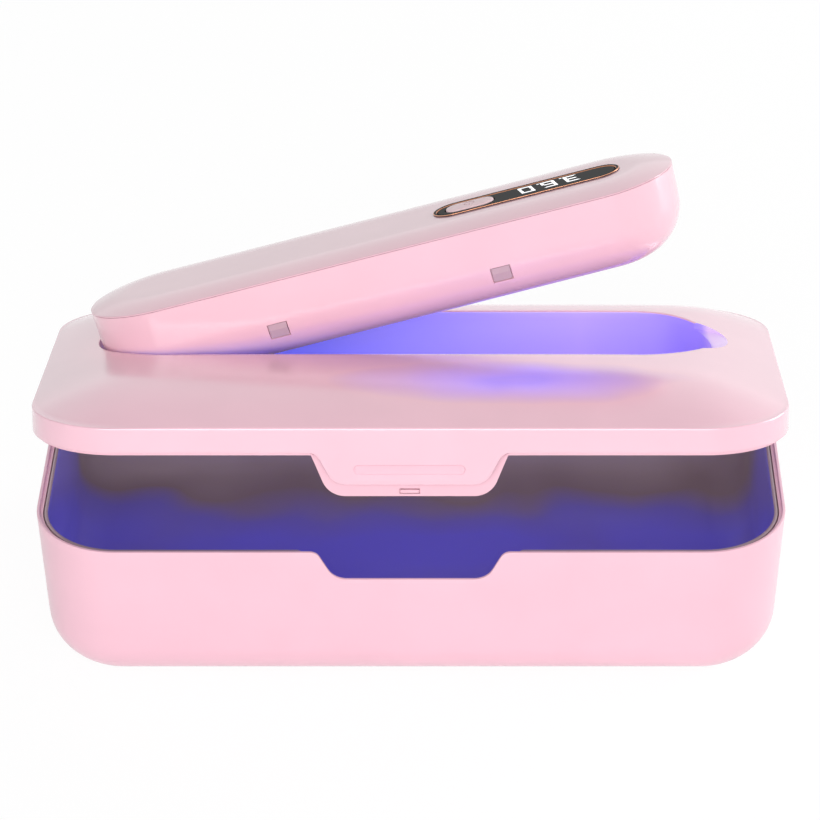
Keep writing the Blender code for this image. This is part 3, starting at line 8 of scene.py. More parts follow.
from math import acos, atan2, copysign, cos, hypot, pi, radians, sin, sqrt, tan

import bmesh
import bpy
from mathutils import Matrix, Vector


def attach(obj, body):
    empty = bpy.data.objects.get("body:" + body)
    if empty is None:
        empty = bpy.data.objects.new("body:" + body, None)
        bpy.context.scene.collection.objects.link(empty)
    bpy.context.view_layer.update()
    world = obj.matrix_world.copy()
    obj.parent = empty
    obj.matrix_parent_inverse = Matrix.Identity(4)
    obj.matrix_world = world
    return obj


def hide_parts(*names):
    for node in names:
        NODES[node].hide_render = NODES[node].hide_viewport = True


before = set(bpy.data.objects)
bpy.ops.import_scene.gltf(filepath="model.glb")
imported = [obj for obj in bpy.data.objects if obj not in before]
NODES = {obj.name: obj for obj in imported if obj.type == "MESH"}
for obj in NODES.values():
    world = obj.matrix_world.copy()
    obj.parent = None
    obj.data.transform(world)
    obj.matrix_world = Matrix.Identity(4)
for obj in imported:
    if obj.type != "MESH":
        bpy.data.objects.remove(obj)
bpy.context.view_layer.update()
MM = 0.001

# Tub, as in the model
CLEARANCE = 0.3 * MM
OVERRUN = 4.0 * MM
FOOT_PROUD = 0.8 * MM
RIM = 50.8 * MM
HALF_LENGTH = 112.0 * MM
HALF_DEPTH = 64.0 * MM
TUB_CORNER = 25.3 * MM
TUB_DRAFT = radians(3.05)
TUB_FILLET = 16.4 * MM
TUB_FLOOR = 2.0 * MM
TUB_WALL = 1.8 * MM
RIM_LAND = 0.9 * MM
REBATE_DEPTH = 1.2 * MM
LINER_WALL = 1.2 * MM
LINER_TOP = RIM - 1.0 * MM
LINER_BOTTOM = FOOT_PROUD + TUB_FLOOR + 3.0 * MM
NOTCH_TOP_HALF = 29.5 * MM
NOTCH_BOTTOM_HALF = 18.8 * MM
NOTCH_DEPTH = 9.8 * MM
TAB_GAP = 0.35 * MM
SEAM = 0.5 * MM
S_SLOPE = radians(63)
S_LOWER_SHARE = 0.65
INNER_S_SLOPE = radians(68)
INNER_S_LOWER_SHARE = 0.82
INNER_TAB_MARGIN = 3.0 * MM
INNER_TAB_DROP = 3.95 * MM
LINER_NOTCH_MARGIN = 1.0 * MM
FOOT_X = 80.0 * MM
FOOT_Y = 34.0 * MM
FOOT_RADIUS = 6.0 * MM
FOOT_SEAT_TOP = FOOT_PROUD + 1.2 * MM
BASE_SCREW_X = 60.0 * MM
BASE_SCREW_Y = 30.0 * MM
SCREW_HEAD_HOLE = 2.6 * MM
SCREW_HEAD_DEPTH = 1.6 * MM

# Hinges, as in the model
HINGE_X = 60.0 * MM
HINGE_Y = HALF_DEPTH + 3.5 * MM
HINGE_Z = RIM + 0.5 * MM
BARREL_RADIUS = 3.0 * MM
BORE_RADIUS = 1.3 * MM
LID_KNUCKLE_HALF = 5.0 * MM
KNUCKLE_GAP = 0.4 * MM
TUB_KNUCKLE = 6.5 * MM

# Lid, as in the model
COVER_CORNER = 26.3 * MM
COVER_BOTTOM = RIM + 0.3 * MM
COVER_CREASE = COVER_BOTTOM + 7.7 * MM
COVER_TOP = COVER_CREASE + 8.6 * MM
COVER_WALL = 1.8 * MM
CREASE_WIDTH = 0.6 * MM
CROWN_INSET = 25.4 * MM
CROWN_POWER = 1.28
CROWN_SOFTNESS = 12.0 * MM
FRAME_BOTTOM = RIM - 0.6 * MM
FRAME_TOP = RIM + 6.0 * MM
FRAME_PLATE = 1.2 * MM
FRAME_FLANGE_INSET = 1.25 * MM
FRAME_FLANGE_HEIGHT = 0.6 * MM
FRAME_UPSTAND_INSET = 2.1 * MM
FRAME_WALL = 1.2 * MM
INNER_TAB_THICKNESS = 1.6 * MM
INNER_TAB_FRONT = -HALF_DEPTH + TUB_WALL + 1.35 * MM

# Dock, as in the model
DOCK_SETBACK = 7.3 * MM
DOCK_X = -2.05 * MM
DOCK_HALF_LENGTH = 93.95 * MM
DOCK_RIGHT = DOCK_X + DOCK_HALF_LENGTH
DOCK_HALF_WIDTH = 24.0 * MM
COLLAR_BOTTOM = COVER_TOP - 5.0 * MM
COLLAR_WALL = 3.4 * MM
TRAY_TOP = COLLAR_BOTTOM - CLEARANCE
TRAY_WALL = 1.5 * MM
TRAY_SHELF = RIM + 0.78 * MM
TRAY_FLOOR = 1.5 * MM
TRAY_LEDGE = 4.0 * MM
WAND_GAP = 0.9 * MM
TRAY_FLANGE = 3.5 * MM
RAMP_LENGTH = 4.0 * MM
RAMP_DROP = 7.5 * MM
SCOOP_RADIUS = 15.2 * MM
SCOOP_REACH = 4.9 * MM
SCOOP_DEPTH = 4.0 * MM
SCOOP_FLOOR_RADIUS = 3.0 * MM

# Wand, as in the model
WAND_HALF_LENGTH = 91.5 * MM
WAND_HALF_WIDTH = 22.9 * MM
WAND_HEIGHT = 25.66 * MM
WAND_DRAFT = radians(1.89)
WAND_FILLET = 16.06 * MM
WAND_CREASE_HALF = 0.06 * MM
WAND_EDGE = 0.29 * MM
WAND_CROWN_HEIGHT = 1.8 * MM
WAND_CROWN_INSET = 12.0 * MM
WAND_CROWN_POWER = 1.9
WAND_TOP = WAND_CREASE_HALF + WAND_EDGE + WAND_CROWN_HEIGHT
WAND_RIB_INSET = 2.3 * MM
WAND_RIB_DEPTH = 2.4 * MM
PANEL_X = 46.55 * MM
BEZEL_HALF_LENGTH = 29.15 * MM
BEZEL_HALF_WIDTH = 6.9 * MM
BEZEL_RING = 1.1 * MM
BEZEL_TOP = WAND_TOP + 0.45 * MM
PANEL_TOP = BEZEL_TOP - 0.2 * MM
PANEL_BOTTOM = PANEL_TOP - 1.2 * MM
BUTTON_HALF_LENGTH = 7.5 * MM
BUTTON_HALF_WIDTH = 3.7 * MM
BUTTON_X = 28.9 * MM
BUTTON_TOP = PANEL_TOP + 0.6 * MM
PAD_SPACING = 69.3 * MM
PAD_SHIFT = -0.5 * MM
PAD_DROP = 15.5 * MM
PAD_HALF_LENGTH = 2.8 * MM
PAD_HALF_HEIGHT = 2.45 * MM
USB_X = 57.5 * MM
USB_TOP = -4.1 * MM
USB_WIDTH = 9.0 * MM
USB_HEIGHT = 3.2 * MM
USB_DEPTH = 7.3 * MM
USB_SUNK = 0.6 * MM
WINDOW_HALF_LENGTH = 62.0 * MM
WINDOW_HALF_WIDTH = 4.0 * MM
WAND_SCREW_X = 82.0 * MM

# Places at rest
LID_OPEN = radians(13.91)
WAND_LIFT = radians(14.72)
HINGE = Vector((0.0, HINGE_Y, HINGE_Z))
TILT = Vector((-110.5 * MM, DOCK_SETBACK, RIM + 9.5 * MM))
DOCKED = Vector((-3.6 * MM, DOCK_SETBACK, RIM + 20.0 * MM))
LID_REST = Matrix.Translation(HINGE) @ Matrix.Rotation(-LID_OPEN, 4, "X") @ Matrix.Translation(-HINGE)
WAND_REST = (
    LID_REST
    @ Matrix.Translation(TILT)
    @ Matrix.Rotation(-WAND_LIFT, 4, "Y")
    @ Matrix.Translation(DOCKED - TILT)
)
AT_ORIGIN = Matrix.Identity(4)

# Camera, fitted to the photograph
IMAGE_SIZE = 820
SENSOR_WIDTH = 36.0
FOCAL_PIXELS = 3656.94
PRINCIPAL_X = 463.28
CAMERA_PLACE = (15.61 * MM, -958.2 * MM, 645.49 * MM)
CAMERA_TILT = radians(58.61)

# Smoothness of curved forms
ARC_STEPS = 18
END_STEPS = 24
ROUND_FACETS = 96
ROD_FACETS = 40
SHARP_ANGLE = radians(35)
WELD = 0.002 * MM


# Mesh helpers

def new_object(name, shape, finishes, place=AT_ORIGIN):
    """Turn a bmesh into an object whose vertices are already where they belong."""
    bmesh.ops.remove_doubles(shape, verts=shape.verts, dist=WELD)
    bmesh.ops.recalc_face_normals(shape, faces=shape.faces)
    mesh = bpy.data.meshes.new(name)
    shape.to_mesh(mesh)
    shape.free()
    mesh.transform(place)
    for finish in finishes:
        mesh.materials.append(finish)
    mesh.shade_smooth()
    mesh.set_sharp_from_angle(angle=SHARP_ANGLE)
    obj = bpy.data.objects.new(name, mesh)
    bpy.context.scene.collection.objects.link(obj)
    return obj


def settle(obj, body, slot_name, *nodes):
    """Hang a finished piece on its body, and let it stand for its CAD nodes."""
    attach(obj, body)
    if nodes:
        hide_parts(*nodes)
    return obj


def combine(obj, shape, operation, place=AT_ORIGIN):
    """Boolean of an object by a bmesh, applied at once."""
    tool = new_object("tool", shape, [], place)
    modifier = obj.modifiers.new("combine", "BOOLEAN")
    modifier.operation = operation
    modifier.solver = "EXACT"
    modifier.material_mode = "INDEX"
    modifier.object = tool
    bpy.context.view_layer.update()
    result = bpy.data.meshes.new_from_object(obj.evaluated_get(bpy.context.evaluated_depsgraph_get()))
    old = obj.data
    obj.modifiers.clear()
    obj.data = result
    bpy.data.objects.remove(tool, do_unlink=True)
    bpy.data.meshes.remove(old)
    obj.data.shade_smooth()
    obj.data.set_sharp_from_angle(angle=SHARP_ANGLE)


def cut(obj, shape, place=AT_ORIGIN):
    """Take a shape out of an object."""
    combine(obj, shape, "DIFFERENCE", place)


def fuse(obj, shape, place=AT_ORIGIN):
    """Add a shape to an object."""
    combine(obj, shape, "UNION", place)


def round_edges(obj, width, segments=3, angle=radians(50)):
    """Small round on an object's sharp edges."""
    bevel = obj.modifiers.new("round", "BEVEL")
    bevel.width = width
    bevel.segments = segments
    bevel.limit_method = "ANGLE"
    bevel.angle_limit = angle
    bevel.harden_normals = True
    bevel.use_clamp_overlap = True


def block(low, high):
    """Box between two corners."""
    shape = bmesh.new()
    bmesh.ops.create_cube(shape, size=1)
    size = [end - start for start, end in zip(low, high)]
    middle = [(end + start) / 2 for start, end in zip(low, high)]
    bmesh.ops.scale(shape, vec=size, verts=shape.verts)
    bmesh.ops.translate(shape, vec=middle, verts=shape.verts)
    return shape


def rod(radius, low, high, place=(0, 0), axis="Z", facets=ROD_FACETS, end_radius=None):
    """Cylinder or cone between two heights along Z or X."""
    shape = bmesh.new()
    middle = (low + high) / 2
    if axis == "Z":
        turn = Matrix()
        centre = (place[0], place[1], middle)
    else:
        turn = Matrix.Rotation(pi / 2, 4, "Y")
        centre = (middle, place[0], place[1])
    bmesh.ops.create_cone(
        shape,
        cap_ends=True,
        segments=facets,
        radius1=radius,
        radius2=radius if end_radius is None else end_radius,
        depth=high - low,
        matrix=Matrix.Translation(centre) @ turn,
    )
    return shape


def rounded_rail(half_x, half_y, corner, side_shares):
    """Round a rounded rectangle: feet on its skeleton, with outward directions.
    A point at an inset is its foot plus (corner - inset) times its direction."""
    foot_x = half_x - corner
    foot_y = half_y - corner
    right = []
    for step in range(ARC_STEPS):
        angle = -pi / 2 + pi / 2 * step / ARC_STEPS
        right.append((foot_x, -foot_y, cos(angle), sin(angle)))
    for step in range(END_STEPS):
        share = step / END_STEPS
        right.append((foot_x, foot_y * (2 * share - 1), 1.0, 0.0))
    for step in range(ARC_STEPS):
        angle = pi / 2 * step / ARC_STEPS
        right.append((foot_x, foot_y, cos(angle), sin(angle)))
    back = [(foot_x * share, foot_y, 0.0, 1.0) for share in side_shares[:-1]]
    half = right + back
    return half + [(-x, -y, -u, -v) for x, y, u, v in half]


def stadium_rail(half_length, half_width, side_shares, centre=(0.0, 0.0)):
    """Round a stadium, with as many points as a rounded rectangle's rail."""
    foot_x = half_length - half_width
    steps = 2 * ARC_STEPS + END_STEPS
    right = []
    for step in range(steps):
        angle = -pi / 2 + pi * step / steps
        right.append((foot_x, 0.0, cos(angle), sin(angle)))
    half = right + [(foot_x * share, 0.0, 0.0, 1.0) for share in side_shares[:-1]]
    both = half + [(-x, -y, -u, -v) for x, y, u, v in half]
    return [(x + centre[0], y + centre[1], u, v) for x, y, u, v in both]


def offset_point(foot, radius):
    """The point of a rail at a distance from its skeleton."""
    x, y, u, v = foot
    return x + u * radius, y + v * radius


def loft(rings, closed=False, capped=False, looks=None):
    """Quads between rings of points. looks gives a material index for each band."""
    shape = bmesh.new()
    rows = [[shape.verts.new(point) for point in ring] for ring in rings]
    count = len(rows[0])
    bands = len(rows) if closed else len(rows) - 1
    for band in range(bands):
        low = rows[band]
        high = rows[(band + 1) % len(rows)]
        for step in range(count):
            after = (step + 1) % count
            face = shape.faces.new((low[step], low[after], high[after], high[step]))
            if looks:
                face.material_index = looks[band]
    if capped:
        shape.faces.new(rows[0])
        shape.faces.new(list(reversed(rows[-1])))
    return shape


def s_rise(run, width, height, slope=S_SLOPE, lower_share=S_LOWER_SHARE):
    """Height at a run along an S-curve: a wide lower arc, a straight and a tighter upper arc."""
    straight = height / tan(slope / 2) - width
    radii = (width - straight * cos(slope)) / sin(slope)
    lower = radii * lower_share
    upper = radii - lower
    held = min(max(run, 0.0), width)
    if held < lower * sin(slope):
        return lower - sqrt(lower**2 - held**2)
    if held > width - upper * sin(slope):
        return height - upper + sqrt(upper**2 - (width - held) ** 2)
    return lower * (1 - cos(slope)) + (held - lower * sin(slope)) * tan(slope)


def notch_drop(x, depth, top_half, bottom_half):
    """How deep a notch or tab with S-curved sides reaches at a place along the front."""
    return depth - s_rise(abs(x) - bottom_half, top_half - bottom_half, depth)


def dense_shares(half_length, dense_from, dense_to):
    """Places from 1 to -1 along a side, close together at the notch's S-curves."""
    plain = [half_length - (half_length - dense_to) * step / 10 for step in range(10)]
    close = [dense_to - (dense_to - dense_from) * step / 26 for step in range(26)]
    middle = [dense_from * (1 - step / 6) for step in range(6)]
    half = plain + close + middle
    return [x / half_length for x in half] + [0.0] + [-x / half_length for x in reversed(half)]


SIDE_SHARES = dense_shares(HALF_LENGTH - COVER_CORNER, 17.5 * MM, 34.5 * MM)


def fillet_profile(depth, draft, fillet, steps):
    """(inset, drop) steps of a leaning wall that ends in a fillet to a flat floor."""
    centre = fillet * cos(draft) + (depth - fillet + fillet * sin(draft)) * tan(draft)
    profile = []
    for step in range(steps + 1):
        angle = draft + (pi / 2 - draft) * step / steps
        profile.append((centre - fillet * cos(angle), depth - fillet + fillet * sin(angle)))
    return profile


def wall_lean(z):
    """How far the tub's walls lean in at a height."""
    return tan(TUB_DRAFT) * max(RIM - z, 0.0)


def rounded_prism(half_x, half_y, corner, low, high, centre=(0.0, 0.0), facets=ROUND_FACETS):
    """Upright prism with a rounded outline, such as a stadium."""
    shape = rod(corner, low, high, facets=facets)
    bmesh.ops.rotate(shape, cent=(0, 0, 0), matrix=Matrix.Rotation(pi / facets, 3, "Z"), verts=shape.verts)
    for vert in shape.verts:
        vert.co.x += centre[0] + copysign(half_x - corner, vert.co.x)
        vert.co.y += centre[1] + copysign(half_y - corner, vert.co.y)
    return shape


def outline_plate(points, front, back):
    """Flat plate whose outline is seen from the front, between two depths."""
    shape = bmesh.new()
    near = [shape.verts.new((x, front, z)) for x, z in points]
    far = [shape.verts.new((x, back, z)) for x, z in points]
    shape.faces.new(near)
    shape.faces.new(list(reversed(far)))
    count = len(points)
    for step in range(count):
        after = (step + 1) % count
        shape.faces.new((near[step], far[step], far[after], near[after]))
    return shape


# Materials

def new_material(name):
    """Material with its node tree and Principled shader."""
    material = bpy.data.materials.new(name)
    material.use_nodes = True
    tree = material.node_tree
    return material, tree, tree.nodes["Principled BSDF"]


def add_noise(tree, scale, detail=3.0, roughness=0.5):
    """Noise on the piece's own coordinates."""
    place = tree.nodes.new("ShaderNodeTexCoord")
    noise = tree.nodes.new("ShaderNodeTexNoise")
    noise.inputs["Scale"].default_value = scale
    noise.inputs["Detail"].default_value = detail
    noise.inputs["Roughness"].default_value = roughness
    tree.links.new(place.outputs["Object"], noise.inputs["Vector"])
    return noise


def add_ramp(tree, source, stops):
    """Colour ramp fed by a value, with (position, colour) stops."""
    ramp = tree.nodes.new("ShaderNodeValToRGB")
    elements = ramp.color_ramp.elements
    while len(elements) < len(stops):
        elements.new(0.5)
    for element, (position, colour) in zip(elements, stops):
        element.position = position
        element.color = (*colour, 1.0)
    tree.links.new(source, ramp.inputs["Fac"])
    return ramp


def add_range(tree, source, low, high, from_low=0.3, from_high=0.7):
    """Map a value to a range."""
    span = tree.nodes.new("ShaderNodeMapRange")
    span.inputs["From Min"].default_value = from_low
    span.inputs["From Max"].default_value = from_high
    span.inputs["To Min"].default_value = low
    span.inputs["To Max"].default_value = high
    tree.links.new(source, span.inputs["Value"])
    return span.outputs["Result"]


def add_bump(tree, shader, scale, strength, distance=0.02 * MM):
    """Fine moulded grain."""
    noise = add_noise(tree, scale, 4.0, 0.6)
    bump = tree.nodes.new("ShaderNodeBump")
    bump.inputs["Strength"].default_value = strength
    bump.inputs["Distance"].default_value = distance
    tree.links.new(noise.outputs["Fac"], bump.inputs["Height"])
    tree.links.new(bump.outputs["Normal"], shader.inputs["Normal"])


def shade(colour, factor):
    """A colour made lighter or darker."""
    return tuple(min(channel * factor, 1.0) for channel in colour)


def plastic(name, colour, roughness=0.3, coat=0.0, coat_roughness=0.08, grain=0.03, ior=1.5):
    """Moulded plastic: slight mottling, uneven polish and fine grain."""
    material, tree, shader = new_material(name)
    mottle = add_noise(tree, 38.0, 2.0)
    ramp = add_ramp(tree, mottle.outputs["Fac"], [(0.3, shade(colour, 0.975)), (0.7, shade(colour, 1.015))])
    tree.links.new(ramp.outputs["Color"], shader.inputs["Base Color"])
    polish = add_noise(tree, 22.0, 1.0)
    tree.links.new(
        add_range(tree, polish.outputs["Fac"], roughness * 0.97, roughness * 1.03, 0.2, 0.8),
        shader.inputs["Roughness"],
    )
    shader.inputs["Coat Weight"].default_value = coat
    shader.inputs["Coat Roughness"].default_value = coat_roughness
    shader.inputs["IOR"].default_value = ior
    if grain:
        add_bump(tree, shader, 2600.0, grain)
    return material


def add_painted_lamp_sheen(material, centre, half_size, colour, strength):
    """Painted reflection of the lamp's violet light on a glossy top: emission and a base-colour tint in an oval with
    a soft, uneven edge.
    """
    tree = material.node_tree
    shader = tree.nodes["Principled BSDF"]
    place = tree.nodes.new("ShaderNodeTexCoord")
    oval = tree.nodes.new("ShaderNodeMapping")
    oval.vector_type = "TEXTURE"
    oval.inputs["Location"].default_value = (*centre, 0.0)
    oval.inputs["Scale"].default_value = (*half_size, PAINTED_SHEEN_HEIGHT)
    tree.links.new(place.outputs["Object"], oval.inputs["Vector"])
    reach = tree.nodes.new("ShaderNodeVectorMath")
    reach.operation = "LENGTH"
    tree.links.new(oval.outputs["Vector"], reach.inputs[0])
    uneven = add_noise(tree, 45.0, 1.0)
    spread = add_range(tree, uneven.outputs["Fac"], -0.1, 0.1)
    total = tree.nodes.new("ShaderNodeMath")
    total.operation = "ADD"
    tree.links.new(reach.outputs["Value"], total.inputs[0])
    tree.links.new(spread, total.inputs[1])
    ramp = add_ramp(tree, total.outputs["Value"], [(0.15, colour), (1.0, (0.0, 0.0, 0.0))])
    ramp.color_ramp.interpolation = "EASE"
    tree.links.new(ramp.outputs["Color"], shader.inputs["Emission Color"])
    shader.inputs["Emission Strength"].default_value = strength
    under = shader.inputs["Base Color"].links[0].from_socket
    mix = tree.nodes.new("ShaderNodeMix")
    mix.data_type = "RGBA"
    tree.links.new(add_range(tree, total.outputs["Value"], 1.0, 0.0, 0.15, 1.0), mix.inputs["Factor"])
    tree.links.new(under, mix.inputs["A"])
    mix.inputs["B"].default_value = (*colour, 1.0)
    tree.links.new(mix.outputs["Result"], shader.inputs["Base Color"])


def metal(name, colour, roughness):
    """Worn metal: uneven polish and a faint fine grain."""
    material, tree, shader = new_material(name)
    mottle = add_noise(tree, 240.0, 4.0)
    ramp = add_ramp(tree, mottle.outputs["Fac"], [(0.3, shade(colour, 0.9)), (0.7, shade(colour, 1.05))])
    tree.links.new(ramp.outputs["Color"], shader.inputs["Base Color"])
    tree.links.new(
        add_range(tree, mottle.outputs["Fac"], roughness * 0.7, roughness * 1.3),
        shader.inputs["Roughness"],
    )
    shader.inputs["Metallic"].default_value = 1.0
    add_bump(tree, shader, 3000.0, 0.1)
    return material


def graded_painted_light(name, axis, low, high, stops, roughness, glow=0.0, coat=0.0, blur=0.25, blur_scale=30.0):
    """Plastic whose colour runs along an axis of its own coordinates, softly uneven; its ramp carries painted lamp
    light as well as own colour, and glow adds a painted glow of that colour.
    """
    material, tree, shader = new_material(name)
    place = tree.nodes.new("ShaderNodeTexCoord")
    split = tree.nodes.new("ShaderNodeSeparateXYZ")
    tree.links.new(place.outputs["Object"], split.inputs["Vector"])
    along = add_range(tree, split.outputs[axis], 0.0, 1.0, low, high)
    noise = add_noise(tree, blur_scale, 1.0)
    spread = add_range(tree, noise.outputs["Fac"], -blur, blur)
    total = tree.nodes.new("ShaderNodeMath")
    total.operation = "ADD"
    tree.links.new(along, total.inputs[0])
    tree.links.new(spread, total.inputs[1])
    ramp = add_ramp(tree, total.outputs["Value"], stops)
    tree.links.new(ramp.outputs["Color"], shader.inputs["Base Color"])
    shader.inputs["Roughness"].default_value = roughness
    shader.inputs["Coat Weight"].default_value = coat
    shader.inputs["Coat Roughness"].default_value = 0.1
    if glow:
        tree.links.new(ramp.outputs["Color"], shader.inputs["Emission Color"])
        shader.inputs["Emission Strength"].default_value = glow
    return material


def lamp_finish(name, colour, strength):
    """Lit face of a lamp."""
    material, tree, shader = new_material(name)
    mottle = add_noise(tree, 60.0, 2.0)
    ramp = add_ramp(tree, mottle.outputs["Fac"], [(0.3, shade(colour, 0.9)), (0.7, shade(colour, 1.1))])
    tree.links.new(ramp.outputs["Color"], shader.inputs["Base Color"])
    tree.links.new(ramp.outputs["Color"], shader.inputs["Emission Color"])
    shader.inputs["Emission Strength"].default_value = strength
    shader.inputs["Roughness"].default_value = 0.15
    return material


PAINTED_SHEEN_HEIGHT = 1.0
PINK = (0.93, 0.56, 0.66)
PALE_PINK = (0.92, 0.565, 0.655)
FRAME_PINK = (0.86, 0.52, 0.61)
# Taupe of the liner's rim, set lighter than the liner as painted light on its top edge.
LIP_TAUPE_PAINTED_LIGHTER = (0.42, 0.30, 0.33)

FINISHES = {
    "shell": plastic("pink_shell", PINK, 0.36, 0.4, 0.14),
    "cover": plastic("pink_cover", PINK, 0.26, 1.0, 0.20, grain=0.0),
    "wand": plastic("wand_pink", PALE_PINK, 0.26, 0.8, 0.08, grain=0.0),
    "bar": plastic("grip_bar_pink", PINK, 0.6, ior=1.3),
    "frame": plastic("frame_pink", FRAME_PINK, 0.42, 0.2, 0.2),
    "lip": plastic("lip_taupe_painted_light", LIP_TAUPE_PAINTED_LIGHTER, 0.35, 0.4, 0.12),
    # Liner: its own taupe at the back, painted violet lamp light towards the front, and a faint painted glow from its
    # emission.
    "liner": graded_painted_light(
        "liner_painted_violet_light",
        "Y",
        10 * MM,
        56 * MM,
        [(0.0, (0.13, 0.11, 0.60)), (0.3, (0.14, 0.11, 0.46)), (0.58, (0.22, 0.155, 0.165)),
         (1.0, (0.33, 0.25, 0.26))],
        0.28,
        glow=0.15,
        coat=0.5,
        blur=0.16,
    ),
    # Dock walls: painted violet and lilac lamp light along the slot with a painted glow; plain pink at the unlit left
    # end.
    "dock": graded_painted_light(
        "dock_painted_lamp_light",
        "X",
        -100 * MM,
        100 * MM,
        [(0.04, (0.50, 0.32, 0.40)), (0.09, (0.20, 0.21, 0.92)), (0.3, (0.22, 0.22, 0.95)),
         (0.5, (0.36, 0.30, 0.96)), (0.76, (0.50, 0.37, 0.97)), (0.92, (0.38, 0.28, 0.96)),
         (0.948, (0.40, 0.29, 0.95)), (0.958, (0.80, 0.60, 0.94))],
        0.35,
        glow=0.24,
        coat=0.3,
        blur=0.015,
    ),
    "pad": plastic("side_pad", (0.58, 0.40, 0.46), 0.6, ior=1.3),
    "copper": metal("copper_bezel", (0.72, 0.33, 0.20), 0.25),
    "glass": plastic("display_glass", (0.008, 0.0085, 0.009), 0.10, grain=0.0, ior=1.06),
    "digit": lamp_finish("display_digits", (0.95, 0.96, 1.0), 0.75),
    "button": plastic("button_pale", (0.96, 0.70, 0.74), 0.38),
    "mark": plastic("button_mark", (0.62, 0.40, 0.42), 0.5),
    "steel": metal("screw_steel", (0.60, 0.60, 0.62), 0.32),
    "film": metal("reflector_film", (0.86, 0.86, 0.89), 0.10),
    "rubber": plastic("foot_rubber", (0.07, 0.06, 0.065), 0.75, grain=0.6),
    "board": plastic("circuit_board", (0.02, 0.13, 0.055), 0.45),
    "part": plastic("component_black", (0.02, 0.02, 0.022), 0.5),
    "battery": plastic("battery_wrap", (0.08, 0.20, 0.50), 0.3, 0.4),
    "window": lamp_finish("lamp_window_glass", (0.36, 0.29, 1.0), 1.3),
    "led": lamp_finish("uv_led_face", (0.45, 0.38, 1.0), 2.0),
}
# Painted violet reflection of the lamp on the lid's top, in front of the dock slot.
add_painted_lamp_sheen(FINISHES["cover"], (30 * MM, -33 * MM), (52 * MM, 15 * MM), (0.34, 0.25, 0.88), 0.36)


def paint(name, finish):
    """Give a CAD node a better finish."""
    node = NODES[name]
    node.data.materials.clear()
    node.data.materials.append(FINISHES[finish])


def paint_cad_nodes():
    """Finishes of the CAD nodes that stay."""
    for name in NODES:
        if "screw" in name or name.startswith("hinge_pin") or name == "usb_socket":
            paint(name, "steel")
        elif name.startswith("foot_"):
            paint(name, "rubber")
        elif name.startswith("uv_led"):
            paint(name, "led")
        elif name.startswith("side_pad"):
            paint(name, "pad")
    paint("lid_reflector", "film")
    paint("latch_catch", "frame")
    paint("main_board", "board")
    paint("led_board", "board")
    paint("display_module", "part")
    paint("button_switch", "part")
    paint("wand_battery", "battery")
    paint("lamp_window", "window")


# Tub

def tub_ring(inset, z, drop_share=0.0, rail=None):
    """Ring of the tub's form at an inset from its leaning outside; the front dips at the notch."""
    points = []
    for foot in rail:
        x, y = offset_point(foot, TUB_CORNER)
        height = z
        if y < 0 and drop_share:
            height -= drop_share * notch_drop(x, NOTCH_DEPTH, NOTCH_TOP_HALF, NOTCH_BOTTOM_HALF)
        radius = TUB_CORNER - inset - wall_lean(height)
        px, py = offset_point(foot, radius)
        points.append((px, py, height))
    return points


def knuckle_web(start, end, low, high):
    """Web that joins a hinge's barrel to a wall."""
    return block((start, HALF_DEPTH - TUB_WALL / 2, low), (end, HINGE_Y, high))


